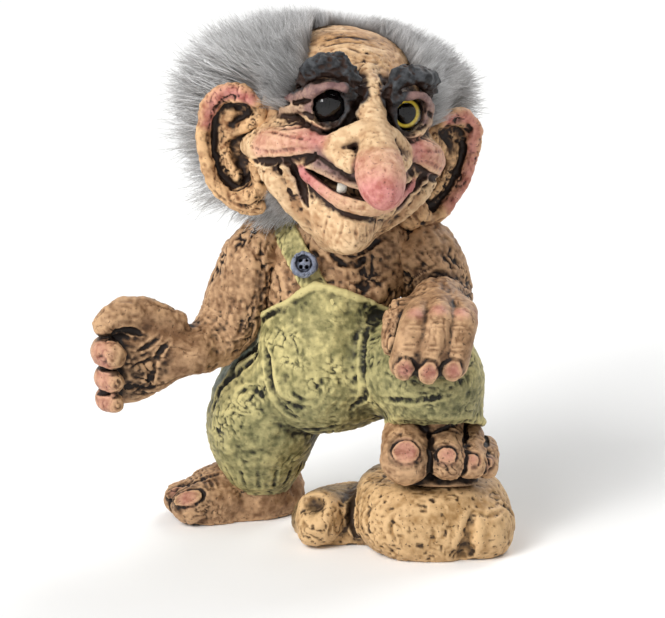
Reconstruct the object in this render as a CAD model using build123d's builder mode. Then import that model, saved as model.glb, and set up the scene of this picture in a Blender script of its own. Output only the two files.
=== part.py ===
from build123d import *
from math import cos, pi, sin
import os

# A folk troll of moulded, painted rubber: it strides, one bare foot on a stone, one hand on the
# raised knee and the other held out. X runs to the viewer's right, -Y to the viewer, +Z up.
# The origin is on the ground under the middle of the whole figure.

# Where the figure's centre line stands from the middle of its footprint
figure_x = 10.5
figure_y = 9.1

# Stone
stone_height = 31
stone_half_length = 41
stone_half_depth = 37
stone_x = 36.5
stone_y = -21
knob_radius = 15
knob_height = 24
knob_x = -2
knob_y = -19
back_slab_height = 15
back_slab_half_length = 30
back_slab_half_depth = 20
back_slab_x = 12
back_slab_y = 0

# Feet
left_foot_length = 46
left_foot_half_width = 20
left_foot_height = 27
left_foot_x = 45
left_heel_y = 1
left_foot_turn = -92
right_foot_length = 55
right_foot_half_width = 17
right_foot_height = 26
right_heel_x = -15
right_heel_y = 24
right_foot_turn = 196
toe_radius = 8.5
toe_length = 18
shin_radius = 11
ankle_x = -31
ankle_y = 14

# Dungarees
crotch_height = 45
garment_height = 79
belly_half_width = 31
belly_half_depth = 29
belly_x = -3.5
belly_y = 1
cloth_wall = 2.5
trouser_radius = 25
cuff_depth = 9
right_foot_tuck = 7
hip_spread = 14
hip_rise = 26
left_foot_tuck = 3
calf_length = 23
knee_x = 42
knee_y = -36
knee_radius = 21
left_cuff_x = 44
left_cuff_y = -27
left_cuff_tilt = 21
bib_front_rise = 74
bib_side_rise = 48
bib_back_rise = 46
peg_radius = 9
peg_length = 14
peg_clearance = 0.1

# Torso
torso_rise = 39
torso_height = 58
chest_half_width = 33
chest_half_depth = 22
chest_x = 4
chest_y = 4
neck_radius = 15
neck_length = 24

# Strap and button
strap_width = 11
strap_thickness = 2
strap_x = -12
strap_lean = 30.5
button_radius = 5.4
button_thickness = 2.4
button_post_radius = 3
button_post_length = 8
button_hole_radius = 0.7
button_hole_spacing = 2.6
button_rim = 1.1
button_dish = 0.7
button_tilt = 62

# Arms and hands
shoulder_drop = 18
shoulder_set = 3
arm_radius = 15
right_reach = 30
right_drop = 41
right_forward = 18
palm_length = 33
palm_half_height = 19.5
palm_half_thickness = 9.5
palm_turn = 197
thumb_radius = 7
thumb_length = 27
finger_radius = 6
finger_length = 18
wrist_gap = 7.5
left_wrist_x = 44.5
left_wrist_y = -27
left_hand_length = 21
left_hand_half_width = 15.5
left_hand_half_thickness = 8
drape_length = 24

# Head
head_half_width = 37
head_half_depth = 33
head_half_height = 47
head_x = 2.5
head_y = 0
head_rise = 31.4
head_turn = 16
head_roll = 9
nose_radius = 12.5
nostril_radius = 6.5
cheek_radius = 11.5
brow_radius = 5.2
lip_radius = 4.2
mouth_radius = 4
chin_radius = 12
tooth_width = 4.6
tooth_height = 6
tooth_thickness = 3
tooth_round = 0.8

# Eyes
eye_radius = 7
eye_dome = 4.4
eye_seat = 2.4
iris_thickness = 0.8
eye_splay = 11
lid_radius = 10.6
lid_height = 2.4
lid_depth = 9
eye_stem_radius = 0.7
eye_stem_length = 8
stem_clearance = 0.05

# Ears
ear_half_height = 26
ear_half_width = 15
ear_half_depth = 6
ear_turn = 22
ear_lean = 10

# Wig
hide_thickness = 1.5
fur_half_width = 66
fur_half_depth = 45
fur_half_height = 50
parting_radius = 20
hairline_lean = 26

# Pin in the stone
pin_radius = 1.5
pin_length = 24

# Straight cuts round a large body, a limb, and a finger or a small form on the face
body_cuts = 24
limb_cuts = 16
small_cuts = 10

UP = Vector(0, 0, 1)
BACK = Vector(0, 1, 0)
STRAIGHT = Vector(0, 0, 0)


def spot(x, y, z):
    """A point measured from the figure's centre line at the ground."""
    return Vector(figure_x + x, figure_y + y, z)


def ring(plane, half_x, half_y, cuts):
    """The corners of an oval on a plane, with that many straight cuts round it."""
    turns = [2 * pi * cut / cuts for cut in range(cuts)]
    return [plane.from_local_coords((half_x * cos(turn), half_y * sin(turn))) for turn in turns]


def skin(rings, mode):
    """A solid through a row of rings. Its walls are flat facets, as a carver's knife leaves them."""
    faces = [Face(Wire.make_polygon(end)) for end in (rings[0], rings[-1])]
    for lower, upper in zip(rings, rings[1:]):
        for corner in range(len(lower)):
            below, above = lower[corner - 1], upper[corner - 1]
            faces.append(Face(Wire.make_polygon([below, lower[corner], upper[corner]])))
            faces.append(Face(Wire.make_polygon([below, upper[corner], above])))
    return add(Solid(Shell(faces)), mode=mode)


def stack(frame, half_x, half_y, half_z, shares, growth=0, cuts=body_cuts, mode=Mode.ADD):
    """A body built up level by level. Each row of shares holds a level, its half width and half
    depth, and how far its middle stands across and forward. growth thickens it all round."""
    levels = []
    for level, wide, deep, across, forward in shares:
        height = level * half_z + (growth if level == shares[-1][0] else 0)
        origin = frame.from_local_coords(Vector(across * half_x, -forward * half_y, height))
        plane = Plane(origin, x_dir=frame.x_dir, z_dir=frame.z_dir)
        levels.append(ring(plane, wide * half_x + growth, deep * half_y + growth, cuts))
    return skin(levels, mode)


def limb(points, wide, tall=None, upright=UP, cuts=limb_cuts, mode=Mode.ADD):
    """A body that swells and narrows along its points. wide holds its half widths, and tall its
    half heights on the side that faces upright."""
    rings = []
    last = len(points) - 1
    for index, (point, across, high) in enumerate(zip(points, wide, tall or wide)):
        along = (points[min(index + 1, last)] - points[max(index - 1, 0)]).normalized()
        side = upright.cross(along).normalized()
        rings.append(ring(Plane(point, x_dir=side, z_dir=along), across, high, cuts))
    return skin(rings, mode)


def between(start, finish, bow, shares):
    """Points on the way from start to finish. Each row of shares holds the part of the way and
    the part of the bow."""
    return [start + (finish - start) * way + bow * bend for way, bend in shares]


def scaled(radius, shares):
    """A radius times each of its shares."""
    return [radius * share for share in shares]


digit_way_shares = [(0, 0), (0.3, 0.7), (0.72, 1), (0.92, 0.5), (1, 0.2)]
digit_radius_shares = [0.6, 1.0, 1.0, 0.8, 0.42]


def digit(start, finish, bow, radius, upright=UP, mode=Mode.ADD):
    """A finger, a toe or another short bulge with two round ends."""
    points = between(start, finish, bow, digit_way_shares)
    return limb(points, scaled(radius, digit_radius_shares), None, upright, small_cuts, mode)


def largest(part):
    """The main solid that a cut leaves, without its crumbs."""
    return part.solids().sort_by(SortBy.VOLUME)[-1]


pieces = {}

# Stone: a flat boulder, a broken knob at its left and a low slab behind
stone_shares = [
    (0, 0.88, 0.86, 0, 0),
    (0.16, 0.97, 0.96, 0, 0),
    (0.42, 1.0, 1.0, 0, 0),
    (0.7, 0.91, 0.94, -0.06, 0),
    (0.9, 0.78, 0.86, -0.1, -0.01),
    (1, 0.66, 0.76, -0.12, -0.01),
]
knob_shares = [
    (0, 0.82, 0.86, 0, 0),
    (0.3, 1.0, 1.0, 0, 0),
    (0.65, 0.96, 0.94, -0.03, 0),
    (0.9, 0.76, 0.74, -0.05, 0),
    (1, 0.5, 0.5, -0.05, 0),
]
pin_share = 0.35
sole = spot(left_foot_x, left_heel_y, stone_height)
left_toeward = Vector(1, 0, 0).rotate(Axis.Z, left_foot_turn)
pin_spot = sole + left_toeward * left_foot_length * pin_share

with BuildPart() as foot_pin:
    with Locations(pin_spot):
        Cylinder(pin_radius, pin_length)

with BuildPart() as rock:
    boulder = Plane(spot(stone_x, stone_y, 0))
    stack(boulder, stone_half_length, stone_half_depth, stone_height, stone_shares)
    knob = Plane(spot(knob_x, knob_y, 0))
    stack(knob, knob_radius, knob_radius, knob_height, knob_shares, cuts=limb_cuts)
    slab = Plane(spot(back_slab_x, back_slab_y, 0))
    slab_size = (back_slab_half_length, back_slab_half_depth, back_slab_height)
    stack(slab, *slab_size, knob_shares, cuts=limb_cuts)
    add(foot_pin.part, mode=Mode.SUBTRACT)

# Dungarees: bib, belly, seat and the two trouser legs
garment_shares = [
    (0, 0.46, 0.5, 0, 0),
    (0.05, 0.72, 0.74, 0, 0),
    (0.15, 0.9, 0.94, -0.02, 0.05),
    (0.3, 1.0, 1.04, -0.03, 0.07),
    (0.44, 0.99, 1.0, -0.01, 0.05),
    (0.6, 0.96, 0.93, 0.03, 0),
    (0.75, 1.0, 0.85, 0.12, -0.04),
    (0.9, 1.06, 0.8, 0.2, -0.08),
    (1, 1.05, 0.76, 0.24, -0.1),
]
right_leg_way_shares = [(-0.1, 0), (0.05, 0), (0.22, 0.6), (0.45, 1), (0.7, 0.7), (0.88, 0.25), (1, 0)]
right_leg_radius_shares = [0.55, 0.86, 0.98, 1.0, 0.86, 0.7, 0.62]
right_leg_bow_share = 0.25
thigh_way_shares = [(0, 0), (0.15, 0), (0.45, 0.5), (0.75, 0.6), (1, 0.2), (1.14, 0)]
thigh_radius_shares = [0.7, 1.04, 1.06, 1.04, 0.96, 0.5]
thigh_bow_share = 0.16
calf_way_shares = [(-0.5, 0), (-0.2, 0), (0.2, 0), (0.6, 0), (1, 0), (1.8, 0)]
calf_radius_shares = [0.5, 0.86, 0.98, 0.98, 0.94, 0.94]

right_cuff_height = right_foot_height - right_foot_tuck
left_cuff_height = stone_height + left_foot_height - left_foot_tuck
knee_height = left_cuff_height + calf_length
right_ankle = spot(ankle_x, ankle_y, right_cuff_height)
right_hip = spot(belly_x - hip_spread, belly_y + hip_spread / 2, crotch_height + hip_rise)
left_hip = spot(belly_x + hip_spread, belly_y + hip_spread / 2, crotch_height + hip_rise)
knee = spot(knee_x, knee_y, knee_height)
left_opening = spot(left_cuff_x, left_cuff_y, left_cuff_height)
calf_axis = (knee - left_opening).normalized()
right_leg_bow = Vector(-trouser_radius, -trouser_radius / 2, 0) * right_leg_bow_share
right_leg_points = between(right_hip, right_ankle, right_leg_bow, right_leg_way_shares)
right_leg_axis = (right_leg_points[-2] - right_leg_points[-1]).normalized()
right_mouth_radius = trouser_radius * right_leg_radius_shares[-1] - cloth_wall
left_mouth_radius = knee_radius * calf_radius_shares[-1] - cloth_wall

bib_front = spot(strap_x, belly_y - belly_half_depth, crotch_height + bib_front_rise)
bib_side = spot(belly_x - belly_half_width, belly_y, crotch_height + bib_side_rise)
bib_slope = (bib_front_rise - bib_back_rise) / (2 * belly_half_depth)
bib_fall = (bib_front_rise - bib_side_rise) / (belly_half_width + belly_x - strap_x)
front_cut = Plane(bib_front, z_dir=Vector(bib_fall / 2, bib_slope, 1).normalized())
side_cut = Plane(bib_side, z_dir=Vector(-bib_fall, bib_slope / 4, 1).normalized())

with BuildPart() as left_calf:
    calf_points = between(knee, left_opening, STRAIGHT, calf_way_shares)
    limb(calf_points, scaled(knee_radius, calf_radius_shares), upright=BACK)
    opening_axis = UP.rotate(Axis.X, -left_cuff_tilt)
    split(bisect_by=Plane(left_opening, z_dir=opening_axis), keep=Keep.TOP)

with BuildPart() as dungarees:
    garment_base = Plane(spot(belly_x, belly_y, crotch_height))
    garment_size = (belly_half_width, belly_half_depth, garment_height)
    stack(garment_base, *garment_size, garment_shares)
    split(bisect_by=front_cut, keep=Keep.BOTTOM)
    split(bisect_by=side_cut, keep=Keep.BOTTOM)
    limb(right_leg_points, scaled(trouser_radius, right_leg_radius_shares), upright=BACK)
    thigh_points = between(left_hip, knee, UP * knee_radius * thigh_bow_share, thigh_way_shares)
    limb(thigh_points, scaled(knee_radius, thigh_radius_shares))
    add(left_calf.part)
    # Both trouser ends are hollow, so that the shins go up into them
    with Locations(Plane(right_ankle, z_dir=right_leg_axis)):
        Cylinder(right_mouth_radius, 2 * cuff_depth, mode=Mode.SUBTRACT)
    with Locations(Plane(left_opening, z_dir=calf_axis)):
        Cylinder(left_mouth_radius, 2 * cuff_depth, mode=Mode.SUBTRACT)
    # A socket in the middle takes the torso's peg
    torso_base = crotch_height + torso_rise
    with Locations(spot(chest_x, chest_y, torso_base + peg_length / 2)):
        Cylinder(peg_radius + peg_clearance, 2 * peg_length, mode=Mode.SUBTRACT)

# Torso with its neck and peg
torso_shares = [
    (0, 0.82, 1.1, -0.23, 0.18),
    (0.2, 0.86, 1.05, -0.18, 0.13),
    (0.4, 0.94, 0.98, -0.09, 0.08),
    (0.62, 1.0, 0.9, -0.01, 0),
    (0.78, 0.94, 0.82, 0.02, -0.04),
    (0.9, 0.74, 0.7, 0.03, -0.04),
    (1, 0.45, 0.5, 0.03, -0.05),
]
neck_way_shares = [(-0.5, 0), (0.1, 0), (1, 0)]
neck_radius_shares = [0.9, 1.0, 0.94]
torso_frame = Plane(spot(chest_x, chest_y, torso_base))
torso_size = (chest_half_width, chest_half_depth, torso_height)
neck_root = spot(chest_x, chest_y, torso_base + torso_height - neck_length / 2)
with BuildPart() as torso:
    stack(torso_frame, *torso_size, torso_shares)
    neck_points = between(neck_root, neck_root + UP * neck_length, STRAIGHT, neck_way_shares)
    limb(neck_points, scaled(neck_radius, neck_radius_shares), upright=BACK)
    add(dungarees.part, mode=Mode.SUBTRACT)
torso_solid = largest(torso.part)

# Strap over the right shoulder, from the front of the bib to its back
strap_spot = spot(strap_x, 0, crotch_height + bib_front_rise)
strap_normal = Vector(1, 0, 0).rotate(Axis.Y, -strap_lean)
with BuildPart() as shoulder_strap:
    stack(torso_frame, *torso_size, torso_shares, growth=strap_thickness)
    with Locations(Plane(strap_spot, z_dir=strap_normal)):
        Box(4 * torso_height, 4 * torso_height, strap_width, mode=Mode.INTERSECT)
    add([torso_solid, dungarees.part], mode=Mode.SUBTRACT)
strap_solid = largest(shoulder_strap.part)

# Button with a raised rim and four holes, seated on the front end of the strap
button_forward_share = 1.06
button_rise_share = 0.04
button_spot = spot(
    strap_x,
    chest_y - chest_half_depth * button_forward_share,
    crotch_height + bib_front_rise * (1 + button_rise_share),
)
button_face = Plane(button_spot, x_dir=Vector(1, 0, 0), z_dir=UP.rotate(Axis.X, button_tilt))
with BuildPart() as strap_button:
    with Locations(button_face):
        Cylinder(button_radius, button_thickness)
        Cylinder(button_post_radius, button_post_length, align=(Align.CENTER, Align.CENTER, Align.MAX))
    with BuildSketch(button_face.offset(button_thickness / 2)):
        Circle(button_radius - button_rim)
    extrude(amount=-button_dish, mode=Mode.SUBTRACT)
    with BuildSketch(button_face):
        with GridLocations(button_hole_spacing, button_hole_spacing, 2, 2):
            Circle(button_hole_radius)
    extrude(amount=button_thickness, both=True, mode=Mode.SUBTRACT)
    add([strap_solid, torso_solid, dungarees.part], mode=Mode.SUBTRACT)

# Head: a long skull that narrows to the chin, with the face's large forms
head_frame = Plane(
    spot(head_x, head_y, torso_base + torso_height + head_rise),
    x_dir=Vector(1, 0, 0).rotate(Axis.Y, head_roll).rotate(Axis.Z, head_turn),
    z_dir=UP.rotate(Axis.Y, head_roll).rotate(Axis.Z, head_turn),
)
head_size = (head_half_width, head_half_depth, head_half_height)
head_up = head_frame.z_dir
skull_shares = [
    (-0.96, 0.16, 0.18, 0, 0.73),
    (-0.85, 0.33, 0.36, 0, 0.76),
    (-0.68, 0.5, 0.54, 0, 0.67),
    (-0.47, 0.73, 0.73, 0, 0.48),
    (-0.26, 0.89, 0.85, 0, 0.3),
    (-0.04, 1.0, 0.94, 0, 0.18),
    (0.17, 0.97, 1.0, 0, 0.09),
    (0.38, 0.89, 1.0, 0, 0.03),
    (0.6, 0.78, 0.98, 0.02, -0.03),
    (0.76, 0.64, 0.88, 0.04, -0.12),
    (0.88, 0.46, 0.68, 0.05, -0.18),
    (0.95, 0.26, 0.4, 0.05, -0.21),
]
# Rows below hold a place on the head across, forward and up, and the radius there
nose_shares = [
    (0, 0.8, 0.66, 0.4),
    (0, 1.2, 0.4, 0.52),
    (0, 1.6, 0.1, 0.74),
    (0, 1.86, -0.07, 1.0),
    (0, 2.1, -0.23, 0.96),
    (0, 2.24, -0.34, 0.5),
]
cheek_shares = [
    (0.4, 0.92, 0.04, 0.5),
    (0.58, 0.92, 0.01, 0.95),
    (0.85, 0.56, -0.08, 1.0),
    (1.03, 0.16, -0.15, 0.5),
]
brow_shares = [
    (0.16, 1.08, 0.56, 0.5),
    (0.32, 1.08, 0.74, 0.95),
    (0.62, 0.93, 0.76, 0.95),
    (0.8, 0.7, 0.56, 0.5),
]
nostril_shares = [
    (0.34, 1.18, 0.1, 0.6),
    (0.34, 1.4, 0.03, 1.0),
    (0.22, 1.56, 0, 0.5),
]
upper_lip_shares = [
    (-0.68, 0.84, -0.15, 0.5),
    (-0.5, 1.08, -0.15, 0.9),
    (-0.22, 1.3, -0.2, 1.0),
    (0.16, 1.32, -0.22, 1.0),
    (0.48, 1.12, -0.19, 0.9),
    (0.7, 0.88, -0.16, 0.5),
]
lower_lip_shares = [
    (-0.62, 0.88, -0.25, 0.5),
    (-0.46, 1.08, -0.34, 0.9),
    (-0.2, 1.28, -0.44, 1.1),
    (0.14, 1.3, -0.46, 1.1),
    (0.44, 1.1, -0.38, 0.9),
    (0.64, 0.86, -0.26, 0.5),
]
mouth_shares = [
    (-0.6, 0.92, -0.2, 0.4),
    (-0.44, 1.1, -0.25, 0.8),
    (-0.2, 1.26, -0.32, 1.0),
    (0.16, 1.28, -0.34, 1.0),
    (0.46, 1.1, -0.28, 0.8),
    (0.64, 0.9, -0.2, 0.4),
]
chin_shares = [
    (-0.08, 0.5, -0.42, 0.6),
    (-0.08, 0.85, -0.56, 1.0),
    (-0.06, 1.1, -0.68, 0.95),
    (-0.06, 1.3, -0.76, 0.45),
]
eye_share = (0.465, 1.05, 0.38)


def on_head(across, forward, up):
    """A place on the head from its shares of the head's half sizes."""
    local = Vector(across * head_half_width, -forward * head_half_depth, up * head_half_height)
    return head_frame.from_local_coords(local)


def feature(shares, radius, side=1, upright=head_up, mode=Mode.ADD):
    """A long form on the face. side is -1 for the one that mirrors it."""
    points = [on_head(side * across, forward, up) for across, forward, up, _ in shares]
    return limb(points, scaled(radius, [row[-1] for row in shares]), None, upright, small_cuts, mode)


def eye_frame(side):
    """The plane behind one eye's glass, facing out of the head."""
    across, forward, up = eye_share
    outward = -head_frame.y_dir.rotate(Axis(STRAIGHT, head_up), side * eye_splay)
    face = on_head(side * across, forward, up) - outward * eye_seat
    return Plane(face, x_dir=head_up.cross(outward).normalized(), z_dir=outward)


with BuildPart() as head:
    stack(head_frame, *head_size, skull_shares)
    forms = [
        feature(nose_shares, nose_radius, mode=Mode.PRIVATE),
        feature(chin_shares, chin_radius, mode=Mode.PRIVATE),
        feature(upper_lip_shares, lip_radius, mode=Mode.PRIVATE),
        feature(lower_lip_shares, lip_radius, mode=Mode.PRIVATE),
    ]
    for side in (-1, 1):
        forms.append(feature(cheek_shares, cheek_radius, side, mode=Mode.PRIVATE))
        forms.append(feature(brow_shares, brow_radius, side, mode=Mode.PRIVATE))
        forms.append(feature(nostril_shares, nostril_radius, side, mode=Mode.PRIVATE))
    add(forms)
    for side in (-1, 1):
        with Locations(eye_frame(side).offset(eye_seat + lid_height)):
            Cone(lid_radius, eye_radius, lid_depth, align=(Align.CENTER, Align.CENTER, Align.MAX))
    feature(mouth_shares, mouth_radius, mode=Mode.SUBTRACT)
    for side in (-1, 1):
        with Locations(eye_frame(side).offset(-iris_thickness)):
            Cylinder(
                eye_radius + stem_clearance,
                lid_depth + iris_thickness,
                align=(Align.CENTER, Align.CENTER, Align.MIN),
                mode=Mode.SUBTRACT,
            )
            Cylinder(
                eye_stem_radius + stem_clearance,
                eye_stem_length,
                align=(Align.CENTER, Align.CENTER, Align.MAX),
                mode=Mode.SUBTRACT,
            )
    add(torso_solid, mode=Mode.SUBTRACT)

# One worn tooth in the mouth
tooth_share = (-0.22, 1.24, -0.29)
with BuildPart() as tooth:
    with Locations(Plane(on_head(*tooth_share), x_dir=head_frame.x_dir, z_dir=head_up)):
        Box(tooth_width, tooth_thickness, tooth_height)
    fillet(tooth.edges().filter_by(lambda edge: edge.length < tooth_thickness + tooth_round), tooth_round)
    add(head.part, mode=Mode.SUBTRACT)

# Glass eyes: a domed glass, an iris disc behind it and a wire stem in the head
dome_radius = (eye_radius**2 + eye_dome**2) / (2 * eye_dome)
for side, name in ((-1, "right"), (1, "left")):
    frame = eye_frame(side)
    with BuildPart() as eye_glass:
        with Locations(frame):
            Cylinder(eye_radius, eye_seat + eye_dome, align=(Align.CENTER, Align.CENTER, Align.MIN))
        with Locations(frame.offset(eye_seat + eye_dome - dome_radius)):
            Sphere(dome_radius, mode=Mode.INTERSECT)
    with BuildPart() as iris:
        with Locations(frame):
            Cylinder(eye_radius, iris_thickness, align=(Align.CENTER, Align.CENTER, Align.MAX))
    with BuildPart() as eye_stem:
        with Locations(frame.offset(-iris_thickness)):
            Cylinder(eye_stem_radius, eye_stem_length, align=(Align.CENTER, Align.CENTER, Align.MAX))
    pieces[f"{name}_eye_glass"] = eye_glass.part
    pieces[f"{name}_iris"] = iris.part
    pieces[f"{name}_eye_stem"] = eye_stem.part

# Ears: two large leaf-shaped bowls that open forward
ear_shares = [
    (-1, 0.2, 0.5, 0.3, 0),
    (-0.85, 0.5, 0.75, 0.24, 0),
    (-0.5, 0.84, 1.0, 0.08, 0),
    (0, 1.0, 1.0, 0, 0),
    (0.45, 0.96, 1.0, -0.04, 0),
    (0.8, 0.66, 0.8, -0.02, 0),
    (1, 0.26, 0.5, 0.06, 0),
]
ear_cup_shares = [
    (-0.8, 0.14, 0.3, 0.22, 0.95),
    (-0.5, 0.56, 0.7, 0.08, 0.95),
    (0, 0.74, 0.9, 0, 0.95),
    (0.45, 0.7, 0.8, -0.04, 0.95),
    (0.8, 0.2, 0.3, -0.04, 0.95),
]
ear_share = (1.22, 0.15, -0.19)
ears = {}
for side, name in ((-1, "right"), (1, "left")):
    across, forward, up = ear_share
    tip = head_up.rotate(Axis(STRAIGHT, head_frame.y_dir), side * ear_lean)
    outward = head_frame.x_dir.rotate(Axis(STRAIGHT, head_up), side * ear_turn)
    lean_axis = Plane(on_head(side * across, forward, up), x_dir=outward, z_dir=tip)
    with BuildPart() as ear:
        mirrored = [(level, w, d, -side * a, f) for level, w, d, a, f in ear_shares]
        cup = [(level, w, d, -side * a, f) for level, w, d, a, f in ear_cup_shares]
        ear_size = (ear_half_width, ear_half_depth, ear_half_height)
        stack(lean_axis, *ear_size, mirrored, cuts=limb_cuts)
        stack(lean_axis, *ear_size, cup, cuts=limb_cuts, mode=Mode.SUBTRACT)
        add(head.part, mode=Mode.SUBTRACT)
    ears[name] = largest(ear.part)
    pieces[f"{name}_ear"] = ears[name]

# Right arm: held out and down, its open palm to the viewer and its fingers curled
arm_way_shares = [(-0.06, 0), (0.1, 0.2), (0.3, 0.7), (0.55, 1), (0.8, 0.7), (1, 0)]
arm_radius_shares = [0.7, 0.96, 1.0, 0.92, 0.78, 0.66]
shoulder_height = torso_base + torso_height - shoulder_drop
right_shoulder = spot(chest_x - chest_half_width - shoulder_set, chest_y, shoulder_height)
left_shoulder = spot(chest_x + chest_half_width, chest_y, shoulder_height)
right_wrist = right_shoulder + Vector(-right_reach, -right_forward, -right_drop)
right_bow_share = Vector(0.2, 0.4, -0.75)
palm_direction = Vector(1, 0, 0).rotate(Axis.Z, palm_turn)
palm_way_shares = [(-0.2, 0), (0.15, 0), (0.45, 0), (0.75, 0), (1, 0)]
palm_wide_shares = [0.95, 1.0, 1.05, 1.0, 0.7]
palm_tall_shares = [0.5, 0.74, 0.98, 1.0, 0.8]
finger_height_shares = [0.2, -0.4, -0.9]
finger_size_shares = [1.06, 0.94, 0.84]
knuckle_share = 0.84
curl_bow_share = 0.45
thumb_height_share = 0.78
with BuildPart() as right_arm:
    arm_points = between(right_shoulder, right_wrist, right_bow_share * arm_radius, arm_way_shares)
    limb(arm_points, scaled(arm_radius, arm_radius_shares), upright=BACK)
    palm_end = right_wrist + palm_direction * palm_length
    palm_points = between(right_wrist, palm_end, STRAIGHT, palm_way_shares)
    palm_wide = scaled(palm_half_thickness, palm_wide_shares)
    limb(palm_points, palm_wide, scaled(palm_half_height, palm_tall_shares))
    palm_front = UP.cross(palm_direction)
    for height, size in zip(finger_height_shares, finger_size_shares):
        knuckle = right_wrist + palm_direction * palm_length * knuckle_share
        knuckle += UP * palm_half_height * height
        fingertip = knuckle + palm_front * finger_length * size
        digit(knuckle, fingertip, palm_direction * finger_length * curl_bow_share, finger_radius * size)
    thumb_root = right_wrist + palm_direction * palm_half_height / 2
    thumb_root += UP * palm_half_height * thumb_height_share
    thumb_tip = thumb_root + palm_direction * thumb_length + palm_front * thumb_radius / 2
    digit(thumb_root, thumb_tip, UP * thumb_radius / 3, thumb_radius)
    add([torso_solid, dungarees.part, strap_solid], mode=Mode.SUBTRACT)
right_arm_solid = largest(right_arm.part)

# Left arm: bent, its hand over the raised knee and its fingers down the front of it
left_bow_share = Vector(0.35, 1.1, -0.8)
left_arm_radius_shares = [0.74, 1.04, 1.06, 0.94, 0.8, 0.7]
left_hand_way_shares = [(-0.2, 0), (0.15, 0), (0.5, 0.5), (0.85, 0.5), (1, 0)]
left_hand_wide_shares = [0.6, 0.8, 0.98, 1.0, 0.86]
left_hand_tall_shares = [1.1, 1.0, 0.96, 0.9, 0.6]
drape_across_shares = [-0.8, -0.12, 0.56]
drape_size_shares = [1.05, 1.0, 0.92]
drape_front_share = 0.36
drape_bow_share = 0.24
left_thumb_share = 1.05
with BuildPart() as left_arm:
    left_wrist_height = knee_height + knee_radius + wrist_gap
    left_wrist = spot(left_wrist_x, left_wrist_y, left_wrist_height)
    arm_points = between(left_shoulder, left_wrist, left_bow_share * arm_radius, arm_way_shares)
    limb(arm_points, scaled(arm_radius, left_arm_radius_shares), upright=Vector(1, 0, 0))
    knuckles = left_wrist - BACK * left_hand_length
    hand_bow = UP * left_hand_half_thickness / 4
    hand_points = between(left_wrist, knuckles, hand_bow, left_hand_way_shares)
    hand_wide = scaled(left_hand_half_width, left_hand_wide_shares)
    limb(hand_points, hand_wide, scaled(left_hand_half_thickness, left_hand_tall_shares))
    for across, size in zip(drape_across_shares, drape_size_shares):
        start = knuckles + Vector(1, 0, 0) * left_hand_half_width * across
        reach = Vector(0, -drape_front_share, -1) * drape_length * size
        bow = Vector(0, -drape_bow_share, drape_bow_share) * drape_length
        digit(start, start + reach, bow, finger_radius * size, upright=BACK)
    thumb_start = left_wrist - Vector(1, 0, 0) * left_hand_half_width * left_thumb_share
    digit(thumb_start, thumb_start - BACK * left_hand_length, STRAIGHT, thumb_radius)
    add([torso_solid, dungarees.part], mode=Mode.SUBTRACT)
left_arm_solid = largest(left_arm.part)

# Feet: flat soles, a high instep, four toes and a shin that goes up into the trouser end
foot_way_shares = [(-0.04, 0), (0.08, 0), (0.3, 0), (0.55, 0), (0.8, 0), (1, 0)]
foot_wide_shares = [0.4, 0.62, 0.74, 0.86, 1.0, 0.84]
foot_tall_shares = [0.34, 0.62, 0.86, 0.78, 0.6, 0.4]
foot_rise_share = 0.2
toe_across_shares = [-0.66, -0.12, 0.36, 0.78]
toe_size_shares = [1.0, 0.86, 0.76, 0.64]
toe_root_share = 0.86


def foot(heel, turn, inner_side, length, half_width, height, ankle, shin_top):
    """A foot that stands on a plane. inner_side is 1 where its big toe is on its left."""
    toeward = Vector(1, 0, 0).rotate(Axis.Z, turn)
    across = UP.cross(toeward) * inner_side
    lift = UP * height * foot_rise_share
    points = between(heel + lift, heel + lift + toeward * length, STRAIGHT, foot_way_shares)
    limb(points, scaled(half_width, foot_wide_shares), scaled(height, foot_tall_shares))
    for aside, size in zip(toe_across_shares, toe_size_shares):
        root = heel + toeward * length * toe_root_share - across * half_width * aside
        root += UP * toe_radius * size * toe_root_share
        digit(root, root + toeward * toe_length * size, UP * toe_radius / 4, toe_radius * size)
    shin_points = between(ankle, shin_top, STRAIGHT, [(0, 0), (0.5, 0), (1, 0)])
    limb(shin_points, scaled(shin_radius, [1.15, 1.0, 1.0]), upright=BACK)
    split(bisect_by=Plane(heel, z_dir=UP), keep=Keep.TOP)


with BuildPart() as right_foot:
    right_heel = spot(right_heel_x, right_heel_y, 0)
    right_shin_foot = spot(ankle_x, ankle_y, right_foot_height / 3)
    right_shin_top = right_ankle + right_leg_axis * cuff_depth
    right_foot_size = (right_foot_length, right_foot_half_width, right_foot_height)
    foot(right_heel, right_foot_turn, 1, *right_foot_size, right_shin_foot, right_shin_top)
    add([dungarees.part, rock.part], mode=Mode.SUBTRACT)

with BuildPart() as left_foot:
    left_shin_top = left_opening + calf_axis * cuff_depth
    left_shin_foot = left_opening - calf_axis * left_foot_height * 2 / 3
    left_foot_size = (left_foot_length, left_foot_half_width, left_foot_height)
    foot(sole, left_foot_turn, -1, *left_foot_size, left_shin_foot, left_shin_top)
    add([dungarees.part, foot_pin.part], mode=Mode.SUBTRACT)

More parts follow.
